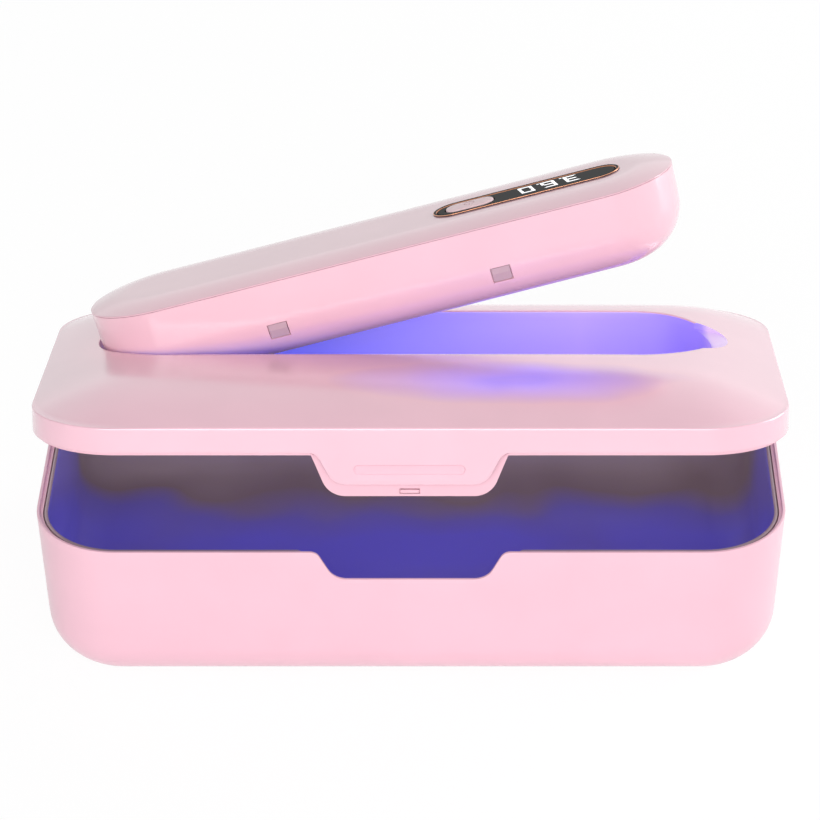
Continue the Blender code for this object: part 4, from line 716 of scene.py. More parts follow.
def make_tub_shell():
    """Outer shell of the tub with its rim, notch, foot seats and hinge knuckles."""
    rail = rounded_rail(HALF_LENGTH, HALF_DEPTH, TUB_CORNER, SIDE_SHARES)
    edge = 0.25 * MM
    rings = []
    floor = FOOT_PROUD + TUB_FLOOR
    inner = fillet_profile(RIM - floor, TUB_DRAFT, TUB_FILLET - TUB_WALL, 6)
    for inset, drop in reversed(inner):
        rings.append([(*offset_point(foot, TUB_CORNER - TUB_WALL - inset), RIM - drop) for foot in rail])
    for z, share in ((RIM - 14 * MM, 0.35), (RIM - 6 * MM, 0.75), (RIM - REBATE_DEPTH, 1.0)):
        rings.append(tub_ring(TUB_WALL, z, share, rail))
    rings.append(tub_ring(RIM_LAND, RIM - REBATE_DEPTH, 1.0, rail))
    rings.append(tub_ring(RIM_LAND, RIM - edge / 2, 1.0, rail))
    rings.append(tub_ring(RIM_LAND - edge / 2, RIM, 1.0, rail))
    rings.append(tub_ring(edge, RIM, 1.0, rail))
    rings.append(tub_ring(edge * 0.3, RIM - edge * 0.3, 1.0, rail))
    rings.append(tub_ring(0.0, RIM - edge, 1.0, rail))
    for step in range(1, 9):
        share = step / 9
        rings.append(tub_ring(0.0, RIM - edge - share * 30 * MM, (1 - share) ** 1.5, rail))
    outer = fillet_profile(RIM - FOOT_PROUD, TUB_DRAFT, TUB_FILLET, 16)
    for inset, drop in outer:
        rings.append([(*offset_point(foot, TUB_CORNER - inset), RIM - drop) for foot in rail])
    shell = new_object("tub_shell_smooth", loft(rings, capped=True), [FINISHES["shell"]])
    for x in (-FOOT_X, FOOT_X):
        for y in (-FOOT_Y, FOOT_Y):
            cut(shell, rod(FOOT_RADIUS + CLEARANCE, -OVERRUN, FOOT_SEAT_TOP, (x, y)))
    for x in (-BASE_SCREW_X, BASE_SCREW_X):
        for y in (-BASE_SCREW_Y, BASE_SCREW_Y):
            cut(shell, rod(SCREW_HEAD_HOLE, -OVERRUN, FOOT_PROUD + SCREW_HEAD_DEPTH, (x, y)))
    start = LID_KNUCKLE_HALF + KNUCKLE_GAP
    for centre in (-HINGE_X, HINGE_X):
        for low, high in ((-start - TUB_KNUCKLE, -start), (start, start + TUB_KNUCKLE)):
            fuse(shell, knuckle_web(centre + low, centre + high, RIM - 5 * MM, RIM))
            fuse(shell, rod(BARREL_RADIUS, centre + low, centre + high, (HINGE_Y, HINGE_Z), "X"))
        reach = start + TUB_KNUCKLE + OVERRUN
        cut(shell, rod(BORE_RADIUS, centre - reach, centre + reach, (HINGE_Y, HINGE_Z), "X"))
    settle(shell, "tub", "pink_shell", "tub_shell")


def liner_ring(inset, z, share, rail):
    """Ring of the liner; its front dips under the notch and the inner tab."""
    margin = INNER_TAB_MARGIN + LINER_NOTCH_MARGIN
    depth = NOTCH_DEPTH + INNER_TAB_DROP + LINER_NOTCH_MARGIN
    points = []
    for foot in rail:
        x, y = offset_point(foot, TUB_CORNER)
        height = z
        if y < 0 and share:
            height -= share * notch_drop(x, depth, NOTCH_TOP_HALF + margin, NOTCH_BOTTOM_HALF + margin)
        px, py = offset_point(foot, TUB_CORNER - inset - wall_lean(height))
        points.append((px, py, height))
    return points


def make_tub_liner():
    """Glossy liner with a grey-pink upper edge, painted lighter for the light on it."""
    rail = rounded_rail(HALF_LENGTH, HALF_DEPTH, TUB_CORNER, SIDE_SHARES)
    outside = TUB_WALL + CLEARANCE
    inside = outside + LINER_WALL
    edge = 0.3 * MM
    rings = []
    looks = []
    outer = fillet_profile(RIM - LINER_BOTTOM, TUB_DRAFT, TUB_FILLET - outside, 8)
    for inset, drop in reversed(outer):
        rings.append([(*offset_point(foot, TUB_CORNER - outside - inset), RIM - drop) for foot in rail])
        looks.append(0)
    for z, share in ((RIM - 16 * MM, 0.5), (LINER_TOP - edge, 1.0)):
        rings.append(liner_ring(outside, z, share, rail))
        looks.append(1)
    rings.append(liner_ring(outside + edge * 0.3, LINER_TOP - edge * 0.3, 1.0, rail))
    rings.append(liner_ring(outside + edge, LINER_TOP, 1.0, rail))
    rings.append(liner_ring(inside - edge, LINER_TOP, 1.0, rail))
    rings.append(liner_ring(inside - edge * 0.3, LINER_TOP - edge * 0.3, 1.0, rail))
    looks += [1, 1, 1, 0]
    for step in range(7):
        share = step / 7
        rings.append(liner_ring(inside, LINER_TOP - edge - share * 26 * MM, (1 - share) ** 1.5, rail))
        looks.append(0)
    inner = fillet_profile(RIM - LINER_BOTTOM - LINER_WALL, TUB_DRAFT, TUB_FILLET - inside, 14)
    for inset, drop in inner:
        rings.append([(*offset_point(foot, TUB_CORNER - inside - inset), RIM - drop) for foot in rail])
        looks.append(0)
    shape = loft(rings, capped=True, looks=looks)
    liner = new_object("tub_liner_smooth", shape, [FINISHES["liner"], FINISHES["lip"]])
    settle(liner, "tub", "liner", "tub_liner")


# Lid

def soft_positive(value):
    """A length where it is positive, and nearly nothing where it is negative, with a soft bend."""
    return (value + sqrt(value**2 + CROWN_SOFTNESS**2)) / 2


def crown_share(outside):
    """Share of the crown's rise at a distance from the corners' centres."""
    share = min(max((COVER_CORNER - outside) / CROWN_INSET, 0.0), 1.0)
    return 1 - (1 - share) ** CROWN_POWER


def crown_height(x, y, drop=0.0):
    """Height of the lid's crown over a place, or of its underside at a drop."""
    dx = soft_positive(abs(x) - (HALF_LENGTH - COVER_CORNER))
    dy = soft_positive(abs(y) - (HALF_DEPTH - COVER_CORNER))
    outside = hypot(dx, dy) * COVER_CORNER / soft_positive(COVER_CORNER)
    rise = crown_share(outside) / crown_share(0.0)
    return COVER_CREASE + (COVER_TOP - COVER_CREASE) * rise - drop


def cover_edge_z(x, y):
    """Height of the cover's lower edge, which dips at the front tab."""
    if y > 0:
        return COVER_BOTTOM
    depth = NOTCH_DEPTH - TAB_GAP + COVER_BOTTOM - RIM
    halves = (NOTCH_TOP_HALF - TAB_GAP, NOTCH_BOTTOM_HALF - TAB_GAP)
    return COVER_BOTTOM - notch_drop(x, depth, *halves)


def band_ring(rail, inset, share, rise=0.0):
    """Ring of the cover's band: share 0 is its lower edge and 1 its crease."""
    top = COVER_CREASE - CREASE_WIDTH
    points = []
    for foot in rail:
        x, y = offset_point(foot, COVER_CORNER)
        low = cover_edge_z(x, y) + rise
        z = low + (top - low) * share
        px, py = offset_point(foot, COVER_CORNER - inset - wall_lean(z))
        points.append((px, py, z))
    return points


def crease_ring(rail, share):
    """Ring of the soft crease between the band and the crown."""
    points = []
    for foot in rail:
        x, y = offset_point(foot, COVER_CORNER - CREASE_WIDTH)
        top = crown_height(x, y)
        inset = CREASE_WIDTH * share * share
        low = (1 - share) ** 2 * (COVER_CREASE - CREASE_WIDTH)
        z = low + 2 * share * (1 - share) * COVER_CREASE + share**2 * top
        px, py = offset_point(foot, COVER_CORNER - inset)
        points.append((px, py, z))
    return points


def crown_ring(rail, slot, share, lip, drop=0.0, width=CREASE_WIDTH):
    """Ring of the crown, from the crease to the dock slot's lip."""
    points = []
    for foot, mark in zip(rail, slot):
        ax, ay = offset_point(foot, COVER_CORNER - width)
        bx, by = offset_point(mark, DOCK_HALF_WIDTH + lip)
        x = ax + (bx - ax) * share
        y = ay + (by - ay) * share
        points.append((x, y, crown_height(x, y, drop)))
    return points


def slot_ring(slot, wider, drop=None, z=None):
    """Ring round the dock slot, at a drop under the crown or at a height."""
    points = []
    for mark in slot:
        x, y = offset_point(mark, DOCK_HALF_WIDTH + wider)
        points.append((x, y, crown_height(x, y, drop) if z is None else z))
    return points


def cut_scoop(cover):
    """Finger scoop at the right end of the dock slot, with the slot's painted lamp light."""
    centre = (DOCK_RIGHT + SCOOP_REACH - SCOOP_RADIUS, DOCK_SETBACK)
    high = crown_height(DOCK_RIGHT + SCOOP_REACH, 0.0)
    cone = rod(SCOOP_FLOOR_RADIUS, high - SCOOP_DEPTH, high, centre, facets=ROUND_FACETS, end_radius=SCOOP_RADIUS)
    above = rod(SCOOP_RADIUS, high - WELD, COVER_TOP + OVERRUN, centre, facets=ROUND_FACETS)
    for shape in (cone, above):
        for face in shape.faces:
            face.material_index = 1
        cut(cover, shape)


def make_lid_cover():
    """Crowned cover with its soft crease, dock slot, scoop, front tab and knuckles."""
    rail = rounded_rail(HALF_LENGTH, HALF_DEPTH, COVER_CORNER, SIDE_SHARES)
    slot = stadium_rail(DOCK_HALF_LENGTH, DOCK_HALF_WIDTH, SIDE_SHARES, (DOCK_X, DOCK_SETBACK))
    edge = 0.3 * MM
    lip = 0.7 * MM
    rings = [band_ring(rail, edge, 0.0), band_ring(rail, edge * 0.3, 0.0, edge * 0.3)]
    rings += [band_ring(rail, 0.0, step / 12, edge) for step in range(13)]
    rings += [crease_ring(rail, step / 6) for step in range(1, 7)]
    rings += [crown_ring(rail, slot, (step / 30) ** 1.15, lip) for step in range(1, 31)]
    for step in range(1, 5):
        angle = pi / 2 * step / 4
        rings.append(slot_ring(slot, lip * (1 - sin(angle)), lip * (1 - cos(angle))))
    # The slot's inner wall takes the dock finish, with its painted lamp light.
    painted_light_from = len(rings)
    rings.append(slot_ring(slot, 0.0, z=TRAY_TOP + 1.5 * MM))
    rings.append(slot_ring(slot, 0.0, z=TRAY_TOP + WELD))
    painted_light_to = len(rings)
    rings.append(slot_ring(slot, COLLAR_WALL, z=TRAY_TOP + WELD))
    rings.append(slot_ring(slot, COLLAR_WALL, COVER_WALL))
    for step in (4, 3, 2, 1, 0):
        rings.append(crown_ring(rail, slot, step / 5, COLLAR_WALL, COVER_WALL, COVER_WALL))
    rings += [band_ring(rail, COVER_WALL, share) for share in (0.6, 0.3, 0.0)]
    looks = [1 if painted_light_from - 2 <= number < painted_light_to else 0 for number in range(len(rings))]
    shape = loft(rings, closed=True, looks=looks)
    cover = new_object("lid_cover_smooth", shape, [FINISHES["cover"], FINISHES["dock"]])
    cut_scoop(cover)
    for centre in (-HINGE_X, HINGE_X):
        low = centre - LID_KNUCKLE_HALF
        high = centre + LID_KNUCKLE_HALF
        fuse(cover, knuckle_web(low, high, COVER_BOTTOM, COVER_BOTTOM + 3.2 * MM))
        fuse(cover, rod(BARREL_RADIUS, low, high, (HINGE_Y, HINGE_Z), "X"))
        cut(cover, rod(BORE_RADIUS, low - OVERRUN, high + OVERRUN, (HINGE_Y, HINGE_Z), "X"))
    cover.data.transform(LID_REST)
    settle(cover, "lid", "pink_shell", "lid_cover")


def make_grip_bar():
    """Soft raised bar on the front tab."""
    half_length = 16.25 * MM
    half_height = 1.5 * MM
    middle = COVER_BOTTOM - 5.0 * MM
    rail = stadium_rail(half_length, half_height, [1.0, 0.5, 0.0, -0.5, -1.0])
    rings = [[(*offset_point(foot, half_height), -0.6 * MM) for foot in rail]]
    for step in range(7):
        angle = pi / 2 * step / 6
        radius = half_height - 0.75 * MM * (1 - cos(angle))
        rings.append([(*offset_point(foot, radius), 0.42 * MM * sin(angle)) for foot in rail])
    lean = Matrix.Rotation(pi / 2 - TUB_DRAFT, 4, "X")
    front = Matrix.Translation((0.0, -HALF_DEPTH + wall_lean(middle), middle))
    bar = new_object("lid_grip_bar", loft(rings, capped=True), [FINISHES["bar"]], LID_REST @ front @ lean)
    settle(bar, "lid", "pink_shell")


def s_curve_outline(top_half, bottom_half, low, high, above, *bend):
    """Outline of a tab with S-curved sides."""
    width = top_half - bottom_half
    runs = [width * step / 36 for step in range(37)]
    side = [(bottom_half + run, low + s_rise(run, width, high - low, *bend)) for run in runs]
    side.append((top_half, high + above))
    return side + [(-x, z) for x, z in reversed(side)]


def make_lid_inner():
    """Inner frame: ceiling, upstand, flange in the rebate and the tab behind the front wall."""
    flange = rounded_prism(
        HALF_LENGTH - FRAME_FLANGE_INSET,
        HALF_DEPTH - FRAME_FLANGE_INSET,
        COVER_CORNER - FRAME_FLANGE_INSET,
        FRAME_BOTTOM,
        FRAME_BOTTOM + FRAME_FLANGE_HEIGHT,
    )
    obj = new_object("lid_inner_smooth", flange, [FINISHES["frame"]])
    upstand = rounded_prism(
        HALF_LENGTH - FRAME_UPSTAND_INSET,
        HALF_DEPTH - FRAME_UPSTAND_INSET,
        COVER_CORNER - FRAME_UPSTAND_INSET,
        FRAME_BOTTOM,
        FRAME_TOP,
    )
    fuse(obj, upstand)
    inset = FRAME_UPSTAND_INSET + FRAME_WALL
    hollow = rounded_prism(
        HALF_LENGTH - inset,
        HALF_DEPTH - inset,
        COVER_CORNER - inset,
        FRAME_BOTTOM - OVERRUN,
        FRAME_TOP - FRAME_PLATE,
    )
    cut(obj, hollow)
    opening = rounded_prism(
        DOCK_HALF_LENGTH + TRAY_WALL + CLEARANCE,
        DOCK_HALF_WIDTH + TRAY_WALL + CLEARANCE,
        DOCK_HALF_WIDTH + TRAY_WALL + CLEARANCE,
        FRAME_BOTTOM,
        FRAME_TOP + OVERRUN,
        (DOCK_X, DOCK_SETBACK),
    )
    cut(obj, opening)
    room = s_curve_outline(
        NOTCH_TOP_HALF - TAB_GAP + SEAM,
        NOTCH_BOTTOM_HALF - TAB_GAP + SEAM,
        RIM - NOTCH_DEPTH + TAB_GAP - SEAM,
        COVER_BOTTOM - CLEARANCE,
        3.85 * MM,
    )
    cut(obj, outline_plate(room, -HALF_DEPTH - OVERRUN, -HALF_DEPTH + FRAME_UPSTAND_INSET))
    tab = s_curve_outline(
        NOTCH_TOP_HALF + 0.5 * MM,
        NOTCH_BOTTOM_HALF,
        RIM - NOTCH_DEPTH - INNER_TAB_DROP,
        FRAME_BOTTOM,
        6.0 * MM,
        INNER_S_SLOPE,
        INNER_S_LOWER_SHARE,
    )
    fuse(obj, outline_plate(tab, INNER_TAB_FRONT, INNER_TAB_FRONT + INNER_TAB_THICKNESS))
    high = RIM - NOTCH_DEPTH - 1.9 * MM + CLEARANCE
    pocket = block(
        (-3.0 * MM, INNER_TAB_FRONT - OVERRUN, high - 1.6 * MM),
        (3.0 * MM, INNER_TAB_FRONT + 0.95 * MM, high),
    )
    cut(obj, pocket)
    obj.data.transform(LID_REST)
    round_edges(obj, 0.15 * MM, 2)
    settle(obj, "lid", "lid_inner", "lid_inner")


def dock_prism(wider, low, high):
    """Stadium of the dock, grown by a wall, between two heights."""
    return rounded_prism(
        DOCK_HALF_LENGTH + wider,
        DOCK_HALF_WIDTH + wider,
        DOCK_HALF_WIDTH + wider,
        low,
        high,
        (DOCK_X, DOCK_SETBACK),
    )


def make_dock_tray():
    """Well that the wand rests in, with painted lamp light on its walls, and with its ledge, flange and finger ramp.
    """
    tray = new_object(
        "dock_tray_smooth",
        dock_prism(TRAY_WALL, TRAY_SHELF - TRAY_FLOOR, TRAY_TOP),
        [FINISHES["dock"], FINISHES["frame"]],
    )
    fuse(tray, dock_prism(TRAY_WALL + TRAY_FLANGE, FRAME_TOP + CLEARANCE, FRAME_TOP + 1.5 * MM))
    well = new_object("well", dock_prism(0.0, TRAY_SHELF, TRAY_TOP + OVERRUN), [])
    ramp_start = DOCK_RIGHT - RAMP_LENGTH
    outline = [
        (ramp_start, TRAY_SHELF - TRAY_FLOOR / 2),
        (DOCK_RIGHT + TRAY_WALL, TRAY_SHELF - TRAY_FLOOR / 2),
        (DOCK_RIGHT + TRAY_WALL, TRAY_TOP),
        (DOCK_RIGHT, TRAY_TOP),
        (ramp_start, TRAY_TOP - RAMP_DROP),
    ]
    half = DOCK_HALF_WIDTH + TRAY_WALL
    cut(well, outline_plate(outline, DOCK_SETBACK - half, DOCK_SETBACK + half))
    room = bmesh.new()
    room.from_mesh(well.data)
    bpy.data.objects.remove(well, do_unlink=True)
    cut(tray, room)
    half_width = DOCK_HALF_WIDTH - TRAY_LEDGE
    opening = rounded_prism(
        WAND_HALF_LENGTH + WAND_GAP - TRAY_LEDGE,
        half_width,
        half_width,
        TRAY_SHELF - TRAY_FLOOR - OVERRUN,
        TRAY_SHELF + OVERRUN,
        (DOCKED.x, DOCK_SETBACK),
    )
    cut(tray, opening)
    for polygon in tray.data.polygons:
        polygon.material_index = 1 if polygon.center.z < TRAY_SHELF - WELD else 0
    tray.data.transform(LID_REST)
    settle(tray, "lid", "dock", "dock_tray")


# Wand

def wand_ring(rail, inset, z):
    """Ring of the wand at an inset from its outline."""
    return [(*offset_point(foot, WAND_HALF_WIDTH - inset), z) for foot in rail]


def wand_crown(share):
    """Rise of the wand's crown at a share of its inset."""
    return WAND_CROWN_HEIGHT * (1 - (1 - share) ** WAND_CROWN_POWER)


def panel_prism(inset, low, high):
    """Stadium at the display's place, set in from the bezel's outside."""
    half_width = BEZEL_HALF_WIDTH - inset
    return rounded_prism(BEZEL_HALF_LENGTH - inset, half_width, half_width, low, high, (PANEL_X, 0.0))


WAND_SHARES = [1 - step / 12 for step in range(25)]


def make_wand_cover():
    """Crowned top of the wand with a soft edge and the display's opening."""
    rail = stadium_rail(WAND_HALF_LENGTH, WAND_HALF_WIDTH, WAND_SHARES)
    low = WAND_CREASE_HALF
    edge_top = low + WAND_EDGE
    soft = 0.35 * MM
    rings = [wand_ring(rail, WAND_RIB_INSET + 1.2 * MM, low - WAND_RIB_DEPTH)]
    rings.append(wand_ring(rail, WAND_RIB_INSET, low - WAND_RIB_DEPTH))
    rings.append(wand_ring(rail, WAND_RIB_INSET, low))
    rings.append(wand_ring(rail, 0.04 * MM, low))
    rings.append(wand_ring(rail, 0.0, low + 0.04 * MM))
    rings.append(wand_ring(rail, 0.0, edge_top - 0.02 * MM))
    rings.append(wand_ring(rail, soft * 0.3, edge_top + 0.5 * wand_crown(soft / WAND_CROWN_INSET)))
    for step in range(1, 25):
        share = soft / WAND_CROWN_INSET + (1 - soft / WAND_CROWN_INSET) * step / 24
        rings.append(wand_ring(rail, WAND_CROWN_INSET * share, edge_top + wand_crown(share)))
    cover = new_object("wand_cover_smooth", loft(rings, capped=True), [FINISHES["wand"]])
    inside = wand_stadium_block(WAND_RIB_INSET + 1.2 * MM, low - WAND_RIB_DEPTH - OVERRUN, low)
    cut(cover, inside)
    cut(cover, panel_prism(0.7 * MM, low - OVERRUN, WAND_TOP + OVERRUN))
    cover.data.transform(WAND_REST)
    settle(cover, "wand", "wand_pink", "wand_cover")


def wand_stadium_block(inset, low, high):
    """Stadium of the wand's outline, set in, between two heights."""
    half_width = WAND_HALF_WIDTH - inset
    return rounded_prism(WAND_HALF_LENGTH - inset, half_width, half_width, low, high)


def pad_seat(x, side):
    """Room for a side pad, square to the belly."""
    height = WAND_HEIGHT - PAD_DROP
    centre = WAND_HALF_WIDTH - fillet_profile(WAND_HEIGHT, WAND_DRAFT, WAND_FILLET, 1)[1][0]
    lean = acos((WAND_FILLET - height) / WAND_FILLET)
    seat = block(
        (-PAD_HALF_LENGTH - CLEARANCE, -1.3 * MM, -PAD_HALF_HEIGHT - CLEARANCE),
        (PAD_HALF_LENGTH + CLEARANCE, OVERRUN, PAD_HALF_HEIGHT + CLEARANCE),
    )
    bmesh.ops.rotate(seat, cent=(0, 0, 0), matrix=Matrix.Rotation(lean - pi / 2, 3, "X"), verts=seat.verts)
    bmesh.ops.translate(seat, vec=(x, centre + WAND_FILLET * sin(lean), -PAD_DROP), verts=seat.verts)
    bmesh.ops.scale(seat, vec=(1, side, 1), verts=seat.verts)
    return seat


def make_wand_shell():
    """Drafted, filleted belly of the wand with the pads' seats, lamp slot and socket hole."""
    rail = stadium_rail(WAND_HALF_LENGTH, WAND_HALF_WIDTH, WAND_SHARES)
    top = -WAND_CREASE_HALF
    rings = [wand_ring(rail, 2.0 * MM, top), wand_ring(rail, 0.04 * MM, top)]
    rings.append(wand_ring(rail, 0.0, top - 0.04 * MM))
    for inset, drop in fillet_profile(WAND_HEIGHT + top, WAND_DRAFT, WAND_FILLET, 24):
        rings.append(wand_ring(rail, inset, top - drop))
    shell = new_object("wand_shell_smooth", loft(rings, capped=True), [FINISHES["wand"]])
    cut(shell, wand_stadium_block(2.0 * MM, -10 * MM, top + OVERRUN))
    cut(shell, rounded_prism(
        WINDOW_HALF_LENGTH + CLEARANCE,
        WINDOW_HALF_WIDTH + CLEARANCE,
        WINDOW_HALF_WIDTH + CLEARANCE,
        -WAND_HEIGHT - OVERRUN,
        -WAND_HEIGHT + 3.3 * MM,
    ))
    for x in (PAD_SHIFT - PAD_SPACING / 2, PAD_SHIFT + PAD_SPACING / 2):
        for side in (-1, 1):
            cut(shell, pad_seat(x, side))
    for x in (-WAND_SCREW_X, WAND_SCREW_X):
        cut(shell, rod(SCREW_HEAD_HOLE, -WAND_HEIGHT - OVERRUN, -WAND_HEIGHT + 5.2 * MM, (x, 0.0)))
    cut(shell, block(
        (USB_X - USB_WIDTH / 2 - CLEARANCE, WAND_HALF_WIDTH - USB_SUNK - USB_DEPTH, USB_TOP - USB_HEIGHT - CLEARANCE),
        (USB_X + USB_WIDTH / 2 + CLEARANCE, WAND_HALF_WIDTH + OVERRUN, USB_TOP + CLEARANCE),
    ))
    shell.data.transform(WAND_REST)
    settle(shell, "wand", "wand_pink", "wand_shell")


def make_bezel():
    """Dark ring round the display between two thin copper edges."""
    rail = stadium_rail(BEZEL_HALF_LENGTH, BEZEL_HALF_WIDTH, WAND_SHARES, (PANEL_X, 0.0))
    edge = 0.2 * MM
    steps = [
        (BEZEL_RING + 0.8 * MM, WAND_TOP - 2.1 * MM, 1),
        (1.0 * MM, WAND_TOP - 2.1 * MM, 1),
        (1.0 * MM, WAND_TOP + CLEARANCE, 1),
        (0.0, WAND_TOP + CLEARANCE, 1),
        (0.0, BEZEL_TOP - edge, 0),
        (edge * 0.3, BEZEL_TOP - edge * 0.3, 0),
        (edge, BEZEL_TOP, 1),
        (BEZEL_RING - edge, BEZEL_TOP - 0.1 * MM, 0),
        (BEZEL_RING, BEZEL_TOP - 0.3 * MM, 0),
        (BEZEL_RING, PANEL_BOTTOM - CLEARANCE, 1),
        (BEZEL_RING + 0.8 * MM, PANEL_BOTTOM - CLEARANCE, 1),
    ]
    rings = [[(*offset_point(foot, BEZEL_HALF_WIDTH - inset), z) for foot in rail] for inset, z, _ in steps]
    shape = loft(rings, closed=True, looks=[look for _, _, look in steps])
    ring = new_object("display_bezel_smooth", shape, [FINISHES["copper"], FINISHES["glass"]], WAND_REST)
    settle(ring, "wand", "copper_bezel", "display_bezel")


def make_panel():
    """Black glass panel with a soft edge and the button's opening."""
    panel = new_object("display_panel_smooth", panel_prism(1.4 * MM, PANEL_BOTTOM, PANEL_TOP), [FINISHES["glass"]])
    opening = rounded_prism(
        BUTTON_HALF_LENGTH + CLEARANCE,
        BUTTON_HALF_WIDTH + CLEARANCE,
        BUTTON_HALF_WIDTH + CLEARANCE,
        PANEL_BOTTOM - OVERRUN,
        PANEL_TOP + OVERRUN,
        (BUTTON_X, 0.0),
    )
    cut(panel, opening)
    panel.data.transform(WAND_REST)
    round_edges(panel, 0.2 * MM, 3)
    settle(panel, "wand", "display_glass", "display_panel")


def make_button():
    """Pill-shaped button with a softly crowned cap."""
    rail = stadium_rail(BUTTON_HALF_LENGTH, BUTTON_HALF_WIDTH, [1.0, 0.5, 0.0, -0.5, -1.0])
    bottom = BUTTON_TOP - 1.1 * MM
    edge = 0.5 * MM
    rings = [[(*offset_point(foot, 1.5 * MM), bottom - 1.8 * MM) for foot in rail]]
    rings.append([(*offset_point(foot, 1.5 * MM), bottom) for foot in rail])
    rings[0] = [(x * 0.39, y, z) for x, y, z in rings[0]]
    rings[1] = [(x * 0.39, y, z) for x, y, z in rings[1]]
    rings.append([(*offset_point(foot, BUTTON_HALF_WIDTH), bottom) for foot in rail])
    for step in range(7):
        angle = pi / 2 * step / 6
        radius = BUTTON_HALF_WIDTH - edge * (1 - cos(angle))
        height = BUTTON_TOP - 0.15 * MM - edge * (1 - sin(angle))
        rings.append([(*offset_point(foot, radius), height) for foot in rail])
    for share in (0.75, 0.5, 0.25):
        radius = (BUTTON_HALF_WIDTH - edge) * share
        height = BUTTON_TOP - 0.15 * MM * share * share
        rings.append([(*offset_point(foot, radius), height) for foot in rail])
    place = WAND_REST @ Matrix.Translation((BUTTON_X, 0.0, 0.0))
    button = new_object("power_button_smooth", loft(rings, capped=True), [FINISHES["button"]], place)
    settle(button, "button", "wand_pink", "power_button")


def arc_band(radius, width, start, end, low, high, centre, steps=28):
    """Flat ring segment between two angles."""
    outline = []
    for step in range(steps + 1):
        angle = start + (end - start) * step / steps
        outline.append((cos(angle) * (radius + width / 2), sin(angle) * (radius + width / 2)))
    for step in range(steps, -1, -1):
        angle = start + (end - start) * step / steps
        outline.append((cos(angle) * (radius - width / 2), sin(angle) * (radius - width / 2)))
    return flat_plate([(centre[0] + x, centre[1] + y) for x, y in outline], low, high)


def flat_plate(points, low, high):
    """Upright prism of an outline seen from above."""
    shape = bmesh.new()
    below = [shape.verts.new((x, y, low)) for x, y in points]
    above = [shape.verts.new((x, y, high)) for x, y in points]
    shape.faces.new(list(reversed(below)))
    shape.faces.new(above)
    count = len(points)
    for step in range(count):
        after = (step + 1) % count
        shape.faces.new((below[step], below[after], above[after], above[step]))
    return shape


def make_button_mark():
    """Plain power mark on the button: a broken ring and a bar."""
    low = BUTTON_TOP - 0.12 * MM
    high = BUTTON_TOP + 0.03 * MM
    place = WAND_REST @ Matrix.Translation((BUTTON_X, 0.0, 0.0))
    ring = arc_band(1.5 * MM, 0.26 * MM, radians(-60), radians(240), low, high, (0.0, 0.0))
    mark = new_object("button_mark_ring", ring, [FINISHES["mark"]], place)
    settle(mark, "button", "wand_pink")
    bar = new_object(
        "button_mark_bar",
        block((-0.14 * MM, -1.9 * MM, low), (0.14 * MM, -0.35 * MM, high)),
        [FINISHES["mark"]],
        place,
    )
    settle(bar, "button", "wand_pink")


SEGMENTS = {"0": "abcdef", "3": "abgcd", "6": "acdefg"}
DIGIT_HALF_WIDTH = 2.15 * MM
DIGIT_HALF_HEIGHT = 3.55 * MM
DIGIT_STROKE = 0.95 * MM
DIGIT_SLANT = 0.21
DIGIT_PLACES = (("3", 60.8 * MM), ("6", 53.7 * MM), ("0", 46.7 * MM))
DIGIT_Y = 0.75 * MM
DIGIT_PROUD = 0.02 * MM


def segment_outline(segment):
    """Mitred outline of one segment of a digit, before its slant."""
    w = DIGIT_HALF_WIDTH
    h = DIGIT_HALF_HEIGHT
    s = DIGIT_STROKE
    gap = 0.06 * MM
    if segment in "adg":
        level = {"a": h, "d": -h, "g": 0.0}[segment]
        side = {"a": -1, "d": 1, "g": 0}[segment]
        if side:
            return [(-w + gap, level), (w - gap, level), (w - s, level + side * s), (-w + s, level + side * s)]
        half = s / 2
        return [(-w + half, 0.0), (-w + s, half), (w - s, half), (w - half, 0.0), (w - s, -half), (-w + s, -half)]
    side = -1 if segment in "ef" else 1
    up = 1 if segment in "bf" else -1
    x = side * w
    inner = side * (w - s)
    return [(x, up * gap), (x, up * (h - gap)), (inner, up * (h - s)), (inner, up * s / 2)]


def place_on_display(points, centre):
    """Slant an outline and turn it to be read from the back of the wand."""
    return [(centre - x + y * DIGIT_SLANT, DIGIT_Y - y) for x, y in points]


def make_digits():
    """Lit digits of the display with their dots, read from behind the wand."""
    shape = bmesh.new()
    low = PANEL_TOP - 0.1 * MM
    high = PANEL_TOP + DIGIT_PROUD
    parts = []
    for digit, centre in DIGIT_PLACES:
        for segment in SEGMENTS[digit]:
            parts.append(flat_plate(place_on_display(segment_outline(segment), centre), low, high))
    dot = 0.36 * MM
    for first, second in zip(DIGIT_PLACES, DIGIT_PLACES[1:]):
        middle = (first[1] + second[1]) / 2 + DIGIT_HALF_HEIGHT * DIGIT_SLANT
        corners = [(-dot, -DIGIT_HALF_HEIGHT), (dot, -DIGIT_HALF_HEIGHT),
                   (dot, -DIGIT_HALF_HEIGHT + 2 * dot), (-dot, -DIGIT_HALF_HEIGHT + 2 * dot)]
        parts.append(flat_plate(place_on_display(corners, middle), low, high))
    for part in parts:
        mesh = bpy.data.meshes.new("part")
        part.to_mesh(mesh)
        part.free()
        shape.from_mesh(mesh)
        bpy.data.meshes.remove(mesh)
    digits = new_object("display_digits", shape, [FINISHES["digit"]], WAND_REST)
    settle(digits, "wand", "display_glass")


# Studio

